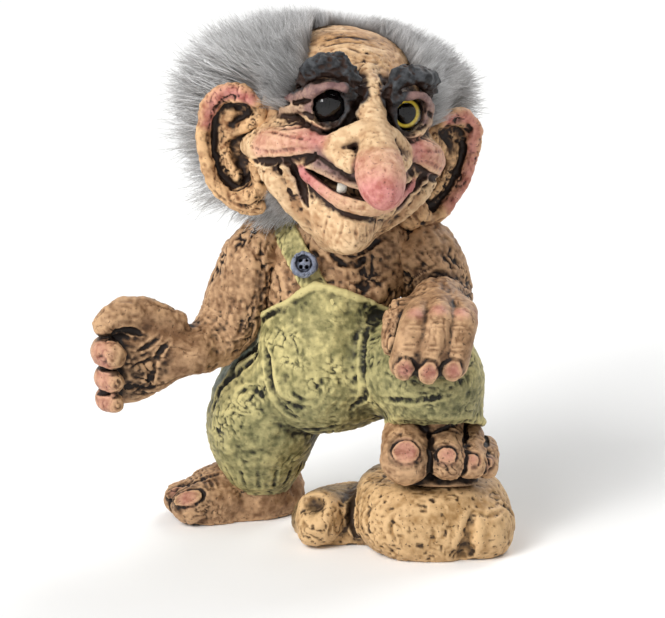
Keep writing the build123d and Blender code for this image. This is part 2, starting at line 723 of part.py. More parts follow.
# Wig: a hide cap over the back and sides of the skull, and the long fur on it
fur_shares = [
    (-0.92, 0.3, 0.3, -0.4, -0.5),
    (-0.72, 0.58, 0.62, -0.26, -0.42),
    (-0.36, 0.86, 0.86, -0.1, -0.34),
    (0.04, 1.0, 1.0, -0.04, -0.28),
    (0.4, 0.97, 0.98, -0.03, -0.26),
    (0.7, 0.82, 0.84, -0.01, -0.26),
    (0.9, 0.58, 0.62, 0, -0.24),
    (1.0, 0.3, 0.34, 0, -0.24),
]
hairline_share = (0, -0.1, 0)
parting_shares = [
    (0.04, 1.8, 0.5, 1.2),
    (0.04, 0.7, 0.8, 1.1),
    (0.02, 0.2, 1.05, 0.75),
    (0.02, -0.3, 1.3, 0.5),
]
hairline_normal = head_frame.y_dir.rotate(Axis(STRAIGHT, head_frame.x_dir), -hairline_lean)
hairline = Plane(on_head(*hairline_share), z_dir=hairline_normal)
with BuildPart() as wig_hide:
    stack(head_frame, *head_size, skull_shares, growth=hide_thickness)
    split(bisect_by=hairline, keep=Keep.TOP)
    feature(parting_shares, parting_radius, mode=Mode.SUBTRACT)
    stack(head_frame, *head_size, skull_shares, mode=Mode.SUBTRACT)
    add([ears["right"], ears["left"], torso_solid], mode=Mode.SUBTRACT)
hide_solid = largest(wig_hide.part)

with BuildPart() as wig_fur:
    fur_size = (fur_half_width, fur_half_depth, fur_half_height)
    stack(head_frame, *fur_size, fur_shares)
    split(bisect_by=hairline, keep=Keep.TOP)
    feature(parting_shares, parting_radius, mode=Mode.SUBTRACT)
    inner = dict(growth=hide_thickness, mode=Mode.SUBTRACT)
    stack(head_frame, *head_size, skull_shares, **inner)
    add([ears["right"], ears["left"]], mode=Mode.SUBTRACT)
    add([torso_solid, strap_solid, right_arm_solid, left_arm_solid], mode=Mode.SUBTRACT)
fur_solid = largest(wig_fur.part)

pieces.update(
    rock=rock.part,
    foot_pin=foot_pin.part,
    dungarees=dungarees.part,
    torso=torso_solid,
    shoulder_strap=strap_solid,
    strap_button=strap_button.part,
    head=head.part,
    tooth=tooth.part,
    right_arm=right_arm_solid,
    left_arm=left_arm_solid,
    right_foot=right_foot.part,
    left_foot=left_foot.part,
    wig_hide=hide_solid,
    wig_fur=fur_solid,
)
os.makedirs("parts", exist_ok=True)
for name, piece in pieces.items():
    piece.label = name
    export_step(piece, f"parts/{name}.step")
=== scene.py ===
from collections import namedtuple
from functools import partial
from math import cos, pi, radians, sin

import bmesh
import bpy
import numpy as np
from bpy.props import FloatProperty, FloatVectorProperty, PointerProperty
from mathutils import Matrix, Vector


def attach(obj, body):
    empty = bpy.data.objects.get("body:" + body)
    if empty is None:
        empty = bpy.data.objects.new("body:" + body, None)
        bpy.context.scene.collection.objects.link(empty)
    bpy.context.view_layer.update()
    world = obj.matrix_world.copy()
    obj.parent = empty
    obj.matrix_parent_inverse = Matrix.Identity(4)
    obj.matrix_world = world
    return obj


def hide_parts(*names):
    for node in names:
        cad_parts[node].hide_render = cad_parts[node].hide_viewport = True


bl_info = {
    "name": "Folk troll figure",
    "version": (1, 0, 0),
    "blender": (4, 5, 0),
    "location": "3D View > Sidebar > Troll",
    "description": "Models the moulded rubber, fur and glass of a folk troll figure on its CAD frame",
    "category": "Object",
}

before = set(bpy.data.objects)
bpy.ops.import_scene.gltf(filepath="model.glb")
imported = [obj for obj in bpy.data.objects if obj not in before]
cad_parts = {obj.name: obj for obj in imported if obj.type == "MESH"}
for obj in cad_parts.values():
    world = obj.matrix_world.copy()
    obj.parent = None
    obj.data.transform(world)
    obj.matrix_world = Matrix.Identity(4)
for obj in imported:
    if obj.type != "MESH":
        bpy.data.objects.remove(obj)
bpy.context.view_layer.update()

MM = 0.001
UP = np.array((0.0, 0.0, 1.0))

# The figure's centre line and the head's place, as in the part's source, in millimetres
FIGURE = np.array((10.5, 9.1, 0.0))
HEAD_AT = np.array((2.5, 0.0, 173.4))
HEAD_TURN, HEAD_ROLL = 16, 9
SKULL_WIDTH, SKULL_DEPTH, SKULL_HEIGHT = 37.0, 33.0, 47.0
HEAD_HALF = np.array((SKULL_WIDTH, SKULL_DEPTH, SKULL_HEIGHT))


def colour(code):
    """A hex colour in sRGB as linear red, green, blue and alpha."""
    shares = [int(code[place : place + 2], 16) / 255 for place in (1, 3, 5)]
    return [s / 12.92 if s <= 0.04045 else ((s + 0.055) / 1.055) ** 2.4 for s in shares] + [1.0]


# Clay: forms are pressed together as signed distances in millimetres, and skinned at the end

# How far from a form's surface the clay keeps true distances
FAR = 8.0
# How many of its half widths a groove reaches out
GROOVE_REACH = 3.2


def unit(way):
    """A way at a length of 1."""
    way = np.array(way, float)
    return way / np.linalg.norm(way)


def square_to(way, axis):
    """The part of a way that is square to an axis, at a length of 1."""
    way = np.array(way, float)
    return unit(way - axis * (way @ axis))


def placed(spot, rows):
    """Rows whose first three numbers are put through a function that gives a place."""
    return [(*spot(*row[:3]), *row[3:]) for row in rows]


def turn_about(axis, degrees):
    """A rotation matrix about axis 0, 1 or 2."""
    c, s = cos(radians(degrees)), sin(radians(degrees))
    matrix = np.eye(3)
    first, second = (axis + 1) % 3, (axis + 2) % 3
    matrix[first, first] = matrix[second, second] = c
    matrix[first, second], matrix[second, first] = -s, s
    return matrix


def smooth_path(rows, per_span=6):
    """A curve through rows of numbers, with that many steps between two rows."""
    rows = np.array(rows, float)
    if len(rows) < 3:
        steps = np.linspace(0, 1, per_span + 1)[:, None]
        return rows[0] + (rows[-1] - rows[0]) * steps
    padded = np.vstack([2 * rows[0] - rows[1], rows, 2 * rows[-1] - rows[-2]])
    out = []
    for before, start, end, after in zip(padded, padded[1:], padded[2:], padded[3:]):
        for t in np.arange(per_span) / per_span:
            out.append(
                0.5
                * (
                    2 * start
                    + (end - before) * t
                    + (2 * before - 5 * start + 4 * end - after) * t**2
                    + (3 * start - before - 3 * end + after) * t**3
                )
            )
    return np.array(out + [rows[-1]])


Form = namedtuple("Form", "distance low high")
Shell = namedtuple("Shell", "points quads paint")


def ball(centre, radii, axes=np.eye(3)):
    """An egg with those half sizes along the rows of axes."""
    centre, radii = np.array(centre, float), np.ones(3) * radii

    def distance(x, y, z):
        place = (x - centre[0], y - centre[1], z - centre[2])
        local = [axis[0] * place[0] + axis[1] * place[1] + axis[2] * place[2] for axis in axes]
        outer = np.sqrt(sum((a / r) ** 2 for a, r in zip(local, radii)))
        inner = np.sqrt(sum((a / r**2) ** 2 for a, r in zip(local, radii)))
        return outer * (outer - 1) / np.maximum(inner, 1e-6)

    return Form(distance, centre - radii.max(), centre + radii.max())


def tube(rows, per_span=3, flat=1.0, normal=(0, 0, 1)):
    """A round body along rows of x, y, z and radius, thinned to a share of that along normal."""
    rows = smooth_path(rows, per_span)
    points, radii = rows[:, :3], rows[:, 3]
    n = unit(normal)
    grow = 1 / flat - 1

    def distance(x, y, z):
        best = None
        for a, b, r0, r1 in zip(points, points[1:], radii, radii[1:]):
            run = b - a
            if grow:
                run = run + n * (run @ n) * grow
            px, py, pz = x - a[0], y - a[1], z - a[2]
            if grow:
                rise = (px * n[0] + py * n[1] + pz * n[2]) * grow
                px, py, pz = px + rise * n[0], py + rise * n[1], pz + rise * n[2]
            t = (px * run[0] + py * run[1] + pz * run[2]) / max(run @ run, 1e-9)
            t = np.clip(t, 0, 1)
            gap = np.sqrt((px - t * run[0]) ** 2 + (py - t * run[1]) ** 2 + (pz - t * run[2]) ** 2)
            gap -= r0 + (r1 - r0) * t
            best = gap if best is None else np.minimum(best, gap)
        return best * min(flat, 1.0)

    reach = radii.max() * max(flat, 1.0)
    return Form(distance, points.min(0) - reach, points.max(0) + reach)


def loft(origin, along, side, rows, edge=2.0):
    """An oval body about an axis. Rows hold a station, two half sizes and two shifts of the middle."""
    origin, along = np.array(origin, float), unit(along)
    side = square_to(side, along)
    other = np.cross(along, side)
    table = smooth_path(rows, 8)
    stations = table[:, 0]
    slope = np.gradient(np.sqrt(table[:, 1] * table[:, 2]), stations)

    def distance(x, y, z):
        place = (x - origin[0], y - origin[1], z - origin[2])
        s, a, b = (d[0] * place[0] + d[1] * place[1] + d[2] * place[2] for d in (along, side, other))
        half_a, half_b, mid_a, mid_b, lean = (
            np.interp(s, stations, column).astype(np.float32)
            for column in (table[:, 1], table[:, 2], table[:, 3], table[:, 4], slope)
        )
        a, b = a - mid_a, b - mid_b
        outer = np.hypot(a / half_a, b / half_b)
        inner = np.hypot(a / half_a**2, b / half_b**2)
        wall = outer * (outer - 1) / np.maximum(inner, 1e-6) / np.sqrt(1 + lean**2)
        end = np.maximum(stations[0] - s, s - stations[-1])
        return -smooth_min(-wall, -end, edge)

    centres = origin + np.outer(stations, along) + np.outer(table[:, 3], side) + np.outer(table[:, 4], other)
    reach = table[:, 1:3].max()
    return Form(distance, centres.min(0) - reach, centres.max(0) + reach)


def oval_rows(shares, height, half_width, half_depth, growth=0.0):
    """Rows for a loft, from shares of a height and two half sizes. The last two shares of a row move
    its middle to the figure's left and to its front."""
    return [
        (z * height, w * half_width + growth, d * half_depth + growth, left * half_width, -front * half_depth)
        for z, w, d, left, front in shares
    ]


def short_of(point, normal):
    """Signed distances to the part of space beyond a plane, below zero inside it."""
    normal = unit(normal)

    def distance(x, y, z):
        return -((x - point[0]) * normal[0] + (y - point[1]) * normal[1] + (z - point[2]) * normal[2])

    return distance


def trimmed(form, point, normal, edge=0.8):
    """A form without what lies beyond a plane."""
    off = short_of(point, normal)

    def distance(x, y, z):
        return -smooth_min(-form.distance(x, y, z), off(x, y, z), edge)

    return Form(distance, form.low, form.high)


def between(start, finish, bow, rows):
    """A limb's rows of x, y, z and radius. Each given row holds a part of the way and of the bow."""
    start, finish, bow = (np.array(place, float) for place in (start, finish, bow))
    return [(*(start + (finish - start) * way + bow * bend), radius) for way, bend, radius in rows]


def along_path(points, path, stretch):
    """Places for a pattern that runs lengthwise on a limb, drawn out by that share."""
    path = smooth_path(np.array(path, float)[:, :3], 4)
    axis = (path[-1] - path[0]) / np.linalg.norm(path[-1] - path[0])
    nearest, best, way = points.copy(), np.full(len(points), np.inf), np.zeros(len(points))
    gone = 0.0
    for start, stop in zip(path, path[1:]):
        run = stop - start
        length = np.linalg.norm(run)
        share = np.clip((points - start) @ run / length**2, 0, 1)[:, None]
        foot = start + share * run
        gap = ((points - foot) ** 2).sum(1)
        closer = gap < best
        best[closer] = gap[closer]
        nearest[closer] = foot[closer]
        way[closer] = gone + length * share[closer, 0]
        gone += length
    return points - nearest + axis * way[:, None] * stretch


def smooth_min(a, b, blend):
    """The lower of two distances, with a fillet of about that size where they meet."""
    share = np.clip(0.5 + 0.5 * (b - a) / blend, 0, 1)
    return b + (a - b) * share - blend * share * (1 - share)


def noise(points, size, seed=0):
    """Even lumps of about that size, mostly between -1 and 1, at each point. The large odd numbers
    only stir the bits of a grid place, so that each corner gets its own value."""
    places = points / size
    whole = np.floor(places).astype(np.int64)
    part = places - whole
    ease = part * part * (3 - 2 * part)
    total = np.zeros(len(points))
    for corner in np.ndindex(2, 2, 2):
        cell = whole + corner
        mixed = cell[:, 0] * 374761393 + cell[:, 1] * 668265263 + cell[:, 2] * 2147483647 + seed * 1274126177
        mixed = (mixed ^ (mixed >> 13)) * 1103515245
        mixed = (mixed ^ (mixed >> 16)) & 0xFFFFFF
        value = mixed / float(0x7FFFFF) - 1
        weight = np.prod(np.where(corner, ease, 1 - ease), axis=1)
        total += weight * value
    return total * 1.5


def swirl(points, size, seed):
    """Noise of its own along each axis."""
    return np.stack([noise(points, size, seed + axis) for axis in range(3)], axis=1)


def lumps(points, size, seed=0, rounds=3):
    """Noise with finer lumps on the coarse ones."""
    return sum(noise(points, size / 2**turn, seed + turn) / 2**turn for turn in range(rounds)) / 1.6


class Clay:
    """A block of clay: signed distances in millimetres on an even grid, below zero inside."""

    def __init__(self, low, high, cell):
        self.low, self.cell = np.array(low, float), cell
        size = np.ceil((np.array(high) - self.low) / cell).astype(int) + 1
        self.field = np.full(size, FAR, np.float32)

    def window(self, low, high):
        """The part of the grid round a box, and the places of its points."""
        last = np.array(self.field.shape)
        first = np.clip(np.floor((low - self.low) / self.cell).astype(int), 0, last - 1)
        stop = np.clip(np.ceil((high - self.low) / self.cell).astype(int) + 1, first + 1, last)
        places = [
            (self.low[axis] + self.cell * np.arange(a, b)).astype(np.float32)
            for axis, (a, b) in enumerate(zip(first, stop))
        ]
        part = tuple(slice(a, b) for a, b in zip(first, stop))
        return part, np.meshgrid(*places, indexing="ij", sparse=True)

    def add(self, form, blend=1.0):
        """Presses a form on, with a fillet."""
        part, places = self.window(form.low - FAR / 2, form.high + FAR / 2)
        near = np.minimum(form.distance(*places), FAR)
        self.field[part] = smooth_min(self.field[part], near, blend)

    def cut(self, form, blend=1.0):
        """Takes a form away, with a rounded edge."""
        part, places = self.window(form.low - FAR / 2, form.high + FAR / 2)
        self.field[part] = -smooth_min(-self.field[part], form.distance(*places), blend)

    def slice_off(self, point, normal, blend=1.0):
        """Cuts away what lies beyond a plane."""
        high = self.low + self.cell * np.array(self.field.shape)
        self.cut(Form(short_of(point, normal), self.low, high), blend)

    def read(self, points):
        """The distance at any points, between the grid's own."""
        places = np.clip((points - self.low) / self.cell, 0, np.array(self.field.shape) - 1.001)
        whole = places.astype(int)
        part = places - whole
        total = 0
        for corner in np.ndindex(2, 2, 2):
            weight = np.prod(np.where(corner, part, 1 - part), axis=1)
            i, j, k = (whole + corner).T
            total = total + weight * self.field[i, j, k]
        return total

    def slope(self, points):
        """The direction out of the clay at any points."""
        step = self.cell
        rows = [self.read(points + step * axis) - self.read(points - step * axis) for axis in np.eye(3)]
        slope = np.stack(rows, axis=1)
        return slope / np.maximum(np.linalg.norm(slope, axis=1, keepdims=True), 1e-9)

    def settle(self, points, rounds=6):
        """Moves points on to the surface."""
        points = np.array(points, float)
        for _ in range(rounds):
            points = points - self.slope(points) * np.clip(self.read(points), -2, 2)[:, None]
        return points

    def score(self, path, width, depth, lip=0.35, settle=True, power=0.5):
        """Presses a groove along a path on the surface, with raised lips, or a ridge below zero."""
        path = smooth_path(path, 8)
        if settle:
            path = self.settle(path)
        taper = np.sin(pi * np.linspace(0.06, 0.94, len(path))) ** power
        part, places = self.window(path.min(0) - GROOVE_REACH * width, path.max(0) + GROOVE_REACH * width)
        block = self.field[part]
        near = np.argwhere(np.abs(block) < 3.5)
        if not len(near):
            return
        cells = np.stack([places[axis].ravel()[near[:, axis]] for axis in range(3)], axis=1)
        gaps = np.sqrt(((cells[:, None] - path[None].astype(np.float32)) ** 2).sum(2)) / (width * taper)
        closest = gaps.argmin(1)
        gap = gaps[np.arange(len(cells)), closest]
        press = np.exp(-(gap**2)) - lip * np.exp(-(((gap - 1.9) / 0.75) ** 2))
        block[tuple(near.T)] += depth * taper[closest] * press

    def skin(self):
        """The surface as points and four-sided faces that point outwards."""
        field = self.field
        inside = field < 0
        cells, crossings, quads_at, flips = [], [], [], []
        size = np.array(field.shape)
        for axis in range(3):
            low = tuple(slice(0, -1) if a == axis else slice(1, -1) for a in range(3))
            high = tuple(slice(1, None) if a == axis else slice(1, -1) for a in range(3))
            found = np.argwhere(inside[low] != inside[high])
            found += [0 if a == axis else 1 for a in range(3)]
            start = field[tuple(found.T)]
            ahead = found.copy()
            ahead[:, axis] += 1
            share = start / (start - field[tuple(ahead.T)])
            place = found.astype(float)
            place[:, axis] += share
            second, third = (axis + 1) % 3, (axis + 2) % 3
            for back_second, back_third in ((0, 0), (1, 0), (1, 1), (0, 1)):
                cell = found.copy()
                cell[:, second] -= back_second
                cell[:, third] -= back_third
                cells.append(np.ravel_multi_index(cell.T, size))
                crossings.append(place)
            flips.append(start > 0)
        slot = np.unique(np.concatenate(cells), return_inverse=True)[1]
        places = np.concatenate(crossings)
        counts = np.bincount(slot)
        points = np.stack([np.bincount(slot, places[:, axis]) / counts for axis in range(3)], axis=1)
        start = 0
        for flip in flips:
            quads = slot[start : start + 4 * len(flip)].reshape(4, -1).T
            quads[flip] = quads[flip][:, ::-1]
            quads_at.append(quads)
            start += 4 * len(flip)
        points = self.low + self.cell * points
        for _ in range(2):
            points = points - self.slope(points) * np.clip(self.read(points), -0.5, 0.5)[:, None]
        return points, np.concatenate(quads_at)


class Skin:
    """The surface of a clay block, that takes relief and paint."""

    def __init__(self, clay):
        self.clay = clay
        self.points, self.quads = clay.skin()
        count = len(self.points)
        pairs = np.concatenate([self.quads[:, [a, (a + 1) % 4]] for a in range(4)])
        self.pairs = np.concatenate([pairs, pairs[:, ::-1]])
        self.degree = np.maximum(np.bincount(self.pairs[:, 0], minlength=count), 1)
        self.paint = {}

    def normals(self):
        """The direction out of the surface at each point."""
        a, b, c, d = (self.points[self.quads[:, corner]] for corner in range(4))
        faces = np.cross(c - a, d - b)
        total = np.zeros_like(self.points)
        for axis in range(3):
            for corner in range(4):
                total[:, axis] += np.bincount(self.quads[:, corner], faces[:, axis], len(self.points))
        return total / np.maximum(np.linalg.norm(total, axis=1, keepdims=True), 1e-12)

    def spread(self, values, rounds):
        """Values evened out with their neighbours'."""
        values = values.reshape(len(values), -1)
        for _ in range(rounds):
            near = [
                np.bincount(self.pairs[:, 0], column[self.pairs[:, 1]], len(values)) / self.degree
                for column in values.T
            ]
            values = 0.5 * values + 0.5 * np.stack(near, axis=1)
        return values

    def raise_by(self, heights):
        """Moves each point outwards by its own height."""
        self.points = self.points + self.normals() * heights[:, None]

    def stand(self, height):
        """Flattens what lies below a level floor."""
        self.points[:, 2] = np.maximum(self.points[:, 2], height)

    def hollow(self, rounds):
        """How far each point lies below its surroundings, in millimetres."""
        return ((self.spread(self.points, rounds) - self.points) * self.normals()).sum(1)

    def shelter(self, reach):
        """How closed in each point is by clay across from it, from 0 in the open to 1."""
        ahead = self.points + self.normals() * reach
        return np.clip(1 - self.clay.read(ahead) / reach, 0, 1)

    def spray(self, name, path, radius, soft=2.0, strength=1.0):
        """Adds paint to a channel along a path."""
        path = smooth_path(path, 4) if len(path) > 1 else np.array(path, float)
        gap = np.full(len(self.points), 1e9)
        for place in path:
            gap = np.minimum(gap, ((self.points - place) ** 2).sum(1))
        share = np.clip((radius + soft - np.sqrt(gap)) / (2 * soft), 0, 1)
        share = strength * share * share * (3 - 2 * share)
        self.paint[name] = np.maximum(self.paint.get(name, 0), share)

    def wrinkle(self, size, depth, places=None, seed=0, mask=1.0, width=0.16, pits=0.8):
        """Presses broken creases and pits into the skin, and leaves it lumpy between them."""
        places = self.points if places is None else places
        wave = lumps(places + swirl(places, size * 2.2, seed + 50) * size * 0.6, size, seed, 2)
        broken = np.clip(0.2 + 1.3 * noise(places, size * 2.4, seed + 70), 0, 1.3)
        crease = np.exp(-((wave / width) ** 2)) * broken
        pit = np.clip(noise(self.points, 1.7, seed + 90) - 0.62, 0, 0.5) * 2 * pits
        swell = 1.5 * lumps(places, size * 2, seed + 9, 3) + 0.35 * noise(self.points, 1.6, seed + 31)
        self.raise_by(mask * depth * (swell - 1.2 * crease - pit))

    def weather_and_shading(self, shading_depth=0.35, fine=8, broad=60):
        """Works out where the skin turns dark in its hollows, with dark wash and painted shade, and light on
        its high places, with dry-brushed paint and painted highlight.
        """
        small, large = self.hollow(fine), self.hollow(broad)
        deep = np.clip(small / (shading_depth * 0.7), 0, 1) * 0.6 + np.clip(large / (shading_depth * 4), 0, 1) * 0.7
        # Dark in the hollows: dark wash and painted shade where the skin lies below its surroundings, and
        # painted shade where clay across from it closes it in
        self.paint["hollow"] = deep + 0.9 * np.clip(self.shelter(2.5) + self.shelter(5.5) - 0.25, 0, 1)
        # Light on the high places: dry-brushed paint and painted highlight
        rise = np.clip(-small / (shading_depth * 0.8), -0.5, 1) + np.clip(-large / (shading_depth * 3), -0.5, 1)
        self.paint["rub_and_highlight"] = np.clip(0.5 * rise, 0, 1)
        # The near-black paint is strengthened in the hollows and taken off the high places, as painted shade
        if "stain_and_shade" in self.paint:
            self.paint["stain_and_shade"] = self.paint["stain_and_shade"] * np.clip(0.75 + deep - self.paint["rub_and_highlight"], 0, 1)


def mesh_from(name, points, quads, paint):
    """A smooth mesh object from points in metres, with a float attribute for each paint."""
    mesh = bpy.data.meshes.new(name)
    mesh.vertices.add(len(points))
    mesh.vertices.foreach_set("co", np.ascontiguousarray(points, np.float32).ravel())
    corners = quads.shape[1]
    mesh.loops.add(quads.size)
    mesh.loops.foreach_set("vertex_index", np.ascontiguousarray(quads, np.int32).ravel())
    mesh.polygons.add(len(quads))
    mesh.polygons.foreach_set("loop_start", np.arange(0, quads.size, corners, dtype=np.int32))
    mesh.update(calc_edges=True)
    mesh.validate()
    mesh.polygons.foreach_set("use_smooth", np.ones(len(quads), bool))
    for channel, values in paint.items():
        attribute = mesh.attributes.new(channel, "FLOAT", "POINT")
        attribute.data.foreach_set(
            "value", np.ascontiguousarray(np.broadcast_to(values, len(points)), np.float32)
        )
    thing = bpy.data.objects.new(name, mesh)
    bpy.context.scene.collection.objects.link(thing)
    return thing


def finish_piece(name, skin, material, part, slot, axes=np.eye(3), origin=(0, 0, 0)):
    """Hands a modelled skin over: its place in the figure, its material and what it stands for."""
    places = (np.array(origin) + FIGURE + skin.points @ np.array(axes)) * MM
    piece = mesh_from(name, places, skin.quads, skin.paint)
    piece.data.materials.append(material)
    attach(piece, "root")
    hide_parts(part)
    return piece


def refinish(name, material):
    """Gives a piece of the CAD frame that stays as it is its real finish."""
    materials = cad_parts[name].data.materials
    materials.clear()
    materials.append(material)


# Materials


def plug(made, links):
    """Fills a node's inputs. links holds values, sockets, or nodes for their first output."""
    for place, value in links.items():
        if isinstance(value, bpy.types.Node):
            value = next(output for output in value.outputs if output.enabled)
        if isinstance(value, bpy.types.NodeSocket):
            made.id_data.links.new(value, made.inputs[place])
        else:
            made.inputs[place].default_value = value


def node(tree, kind, links=None, **settings):
    """Adds a node with its settings, and fills its inputs."""
    made = tree.nodes.new(kind)
    for name, value in settings.items():
        setattr(made, name, value)
    plug(made, links or {})
    return made


def blank_material(name, **settings):
    """A new material with only its shader, with those values on its sockets, and its output. Gives
    the material, the function that adds a node to it, and the shader."""
    material = bpy.data.materials.new(name)
    material.use_nodes = True
    tree = material.node_tree
    tree.nodes.clear()
    shader = node(tree, "ShaderNodeBsdfPrincipled")
    for socket, value in settings.items():
        shader.inputs[socket.replace("_", " ")].default_value = value
    node(tree, "ShaderNodeOutputMaterial", {"Surface": shader})
    return material, partial(node, tree), shader


def moulded_rubber(name, light, middle, dark, paints, grit=0.9, specks=0.6):
    """Latex rubber from a mould, dark in its hollows with dark wash and painted shade, and light on its high
    places with dry-brushed paint and painted highlight: satin and soft-edged, mottled, with small dark pores."""
    material, add, shader = blank_material(name, Specular_IOR_Level=0.25)
    place = add("ShaderNodeTexCoord").outputs["Object"]
    # Sizes of the lumps in millimetres, and how much finer lumps lie on them
    broad, patch, fine, pore = (
        add("ShaderNodeTexNoise", {"Vector": place, "Scale": 1 / (size * MM), "Detail": detail})
        for size, detail in ((9, 3.0), (3, 3.0), (grit, 2.0), (1.4, 1.0))
    )
    # How much dry-brushed paint and painted highlight lies on the high places, and how much dark wash and
    # painted shade in the hollows
    rub_and_highlight = add("ShaderNodeAttribute", attribute_name="rub_and_highlight").outputs["Fac"]
    hollow = add("ShaderNodeAttribute", attribute_name="hollow").outputs["Fac"]
    mottle = add("ShaderNodeMapRange", {"Value": patch, "From Min": 0.4, "From Max": 0.66})
    wide = add("ShaderNodeMapRange", {"Value": broad, "From Min": 0.38, "From Max": 0.62})
    even = add("ShaderNodeMath", {0: wide, 1: 0.45, 2: rub_and_highlight}, operation="MULTIPLY_ADD")
    rubbed_and_lit = add("ShaderNodeMath", {0: mottle, 1: -0.3, 2: even}, operation="MULTIPLY_ADD")
    rubbed_and_lit = add("ShaderNodeMapRange", {"Value": rubbed_and_lit, "From Min": -0.1, "From Max": 0.75})
    tone = add("ShaderNodeMix", {0: rubbed_and_lit, 6: middle, 7: light}, data_type="RGBA")
    for paint, first, second in paints:
        cover = add("ShaderNodeAttribute", attribute_name=paint).outputs["Fac"]
        shade = add("ShaderNodeMix", {0: mottle, 6: colour(first), 7: colour(second)}, data_type="RGBA")
        ragged = add("ShaderNodeMath", {0: fine, 1: 0.35, 2: cover}, operation="MULTIPLY_ADD")
        edge = add("ShaderNodeMapRange", {"Value": ragged, "From Min": 0.22, "From Max": 1.1})
        tone = add("ShaderNodeMix", {0: edge, 6: tone, 7: shade}, data_type="RGBA")
    # Near-black in the hollows: dark wash and painted shade
    ragged = add("ShaderNodeMath", {0: patch, 1: 0.5, 2: hollow}, operation="MULTIPLY_ADD")
    stain_and_shade = add("ShaderNodeMapRange", {"Value": ragged, "From Min": 0.4, "From Max": 1.25})
    tone = add("ShaderNodeMix", {0: stain_and_shade, 6: tone, 7: dark}, data_type="RGBA")
    dots = add("ShaderNodeMapRange", {"Value": pore, "From Min": 0.67, "From Max": 0.74, "To Max": specks})
    tone = add("ShaderNodeMix", {0: dots, 6: tone, 7: dark}, data_type="RGBA")
    gloss = add("ShaderNodeMapRange", {"Value": patch, "To Min": 0.4, "To Max": 0.65})
    height = add("ShaderNodeMath", {0: fine, 1: 0.5, 2: patch.outputs["Fac"]}, operation="MULTIPLY_ADD")
    bump = add("ShaderNodeBump", {"Height": height, "Distance": 0.4 * MM, "Strength": 0.8})
    plug(shader, {"Base Color": tone, "Roughness": gloss, "Normal": bump})
    return material


# Skin paints, each in two tones: brown for the crown, pink, violet-brown for painted shade, charcoal for the
# brows and for painted shade in the eye sockets, and near-black for dark wash and painted shade under and
# between parts
SKIN_PAINTS = (
    ("umber", "#b58a5c", "#85623f"),
    ("blush", "#cd8783", "#ac5f5b"),
    ("violet_shade", "#8a6c66", "#6b5050"),
    ("soot_and_shade", "#1d1d1f", "#46484b"),
    ("stain_and_shade", "#45301f", "#1f140e"),
)
# Cloth paints, each in two tones: darker olive for painted shade, grey-green for painted highlight, and
# near-black for painted shade under and between parts
CLOTH_PAINTS = (
    ("shade", "#86825a", "#55573a"),
    ("slate", "#8f9c8f", "#5c665f"),
    ("stain_and_shade", "#26261a", "#131310"),
)
# Stone paints, each in two tones: brown behind the knob, and near-black for painted shade in cracks and
# hollows
STONE_PAINTS = (("moss", "#8a7350", "#5c4a33"), ("stain_and_shade", "#40352a", "#231b14"))


def head_rubber():
    """Latex rubber of the face: pale tan on its high places, dry-brushed paint with painted highlight, warm
    brown between, and dark in the creases, dark wash with painted shade.
    """
    settings = bpy.context.scene.troll_settings
    return moulded_rubber(
        "face_rubber", settings.face_high, settings.face_low, colour("#2f1f18"), SKIN_PAINTS, specks=0.5
    )


def limb_rubber():
    """The same rubber on torso, arms and feet, painted browner, and nearly black in its hollows with dark
    wash and painted shade.
    """
    settings = bpy.context.scene.troll_settings
    return moulded_rubber(
        "limb_rubber", settings.limb_high, settings.limb_low, colour("#1b110c"), SKIN_PAINTS
    )


def ear_rubber():
    """The same rubber on the ears, painted warmer than the limbs, and brown-black in the cup with dark wash
    and painted shade.
    """
    return moulded_rubber("ear_rubber", colour("#dab183"), colour("#8f6543"), colour("#21150f"), SKIN_PAINTS)


def cloth_rubber():
    """Latex rubber painted as cloth: straw over olive, near-black in its folds with dark wash and painted
    shade.
    """
    settings = bpy.context.scene.troll_settings
    return moulded_rubber(
        "olive_cloth_rubber",
        settings.cloth_high,
        settings.cloth_low,
        colour("#1b1a12"),
        CLOTH_PAINTS,
        specks=0.35,
    )


def stone_rubber():
    """Latex rubber painted as stone: sandy, finely pored and peppered with dark specks."""
    settings = bpy.context.scene.troll_settings
    return moulded_rubber(
        "stone_rubber", settings.stone_high, settings.stone_low, colour("#3a2b1e"), STONE_PAINTS, 0.7, 0.8
    )


def button_rubber():
    """Latex rubber painted slate blue, darkened in its holes with dark wash and painted shade."""
    return moulded_rubber("slate_button_rubber", colour("#8d93a3"), colour("#5a6070"), colour("#20232c"), ())


def ivory_enamel():
    """Glossy ivory enamel brushed on the tooth: even, with faint yellow mottling."""
    material, add, shader = blank_material("ivory_enamel", Roughness=0.18, Coat_Weight=0.4)
    place = add("ShaderNodeTexCoord").outputs["Object"]
    cloud = add("ShaderNodeTexNoise", {"Vector": place, "Scale": 1 / (2 * MM)})
    tone = add("ShaderNodeMix", {0: cloud, 6: colour("#f4f1ea"), 7: colour("#d8ccb0")}, data_type="RGBA")
    plug(shader, {"Base Color": tone})
    return material


def blown_glass():
    """Clear blown glass of a doll's eye: a hard, bright highlight over a deep iris."""
    return blank_material(
        "blown_glass", Base_Color=colour("#ffffff"), Roughness=0.02, IOR=1.42, Transmission_Weight=1.0
    )[0]


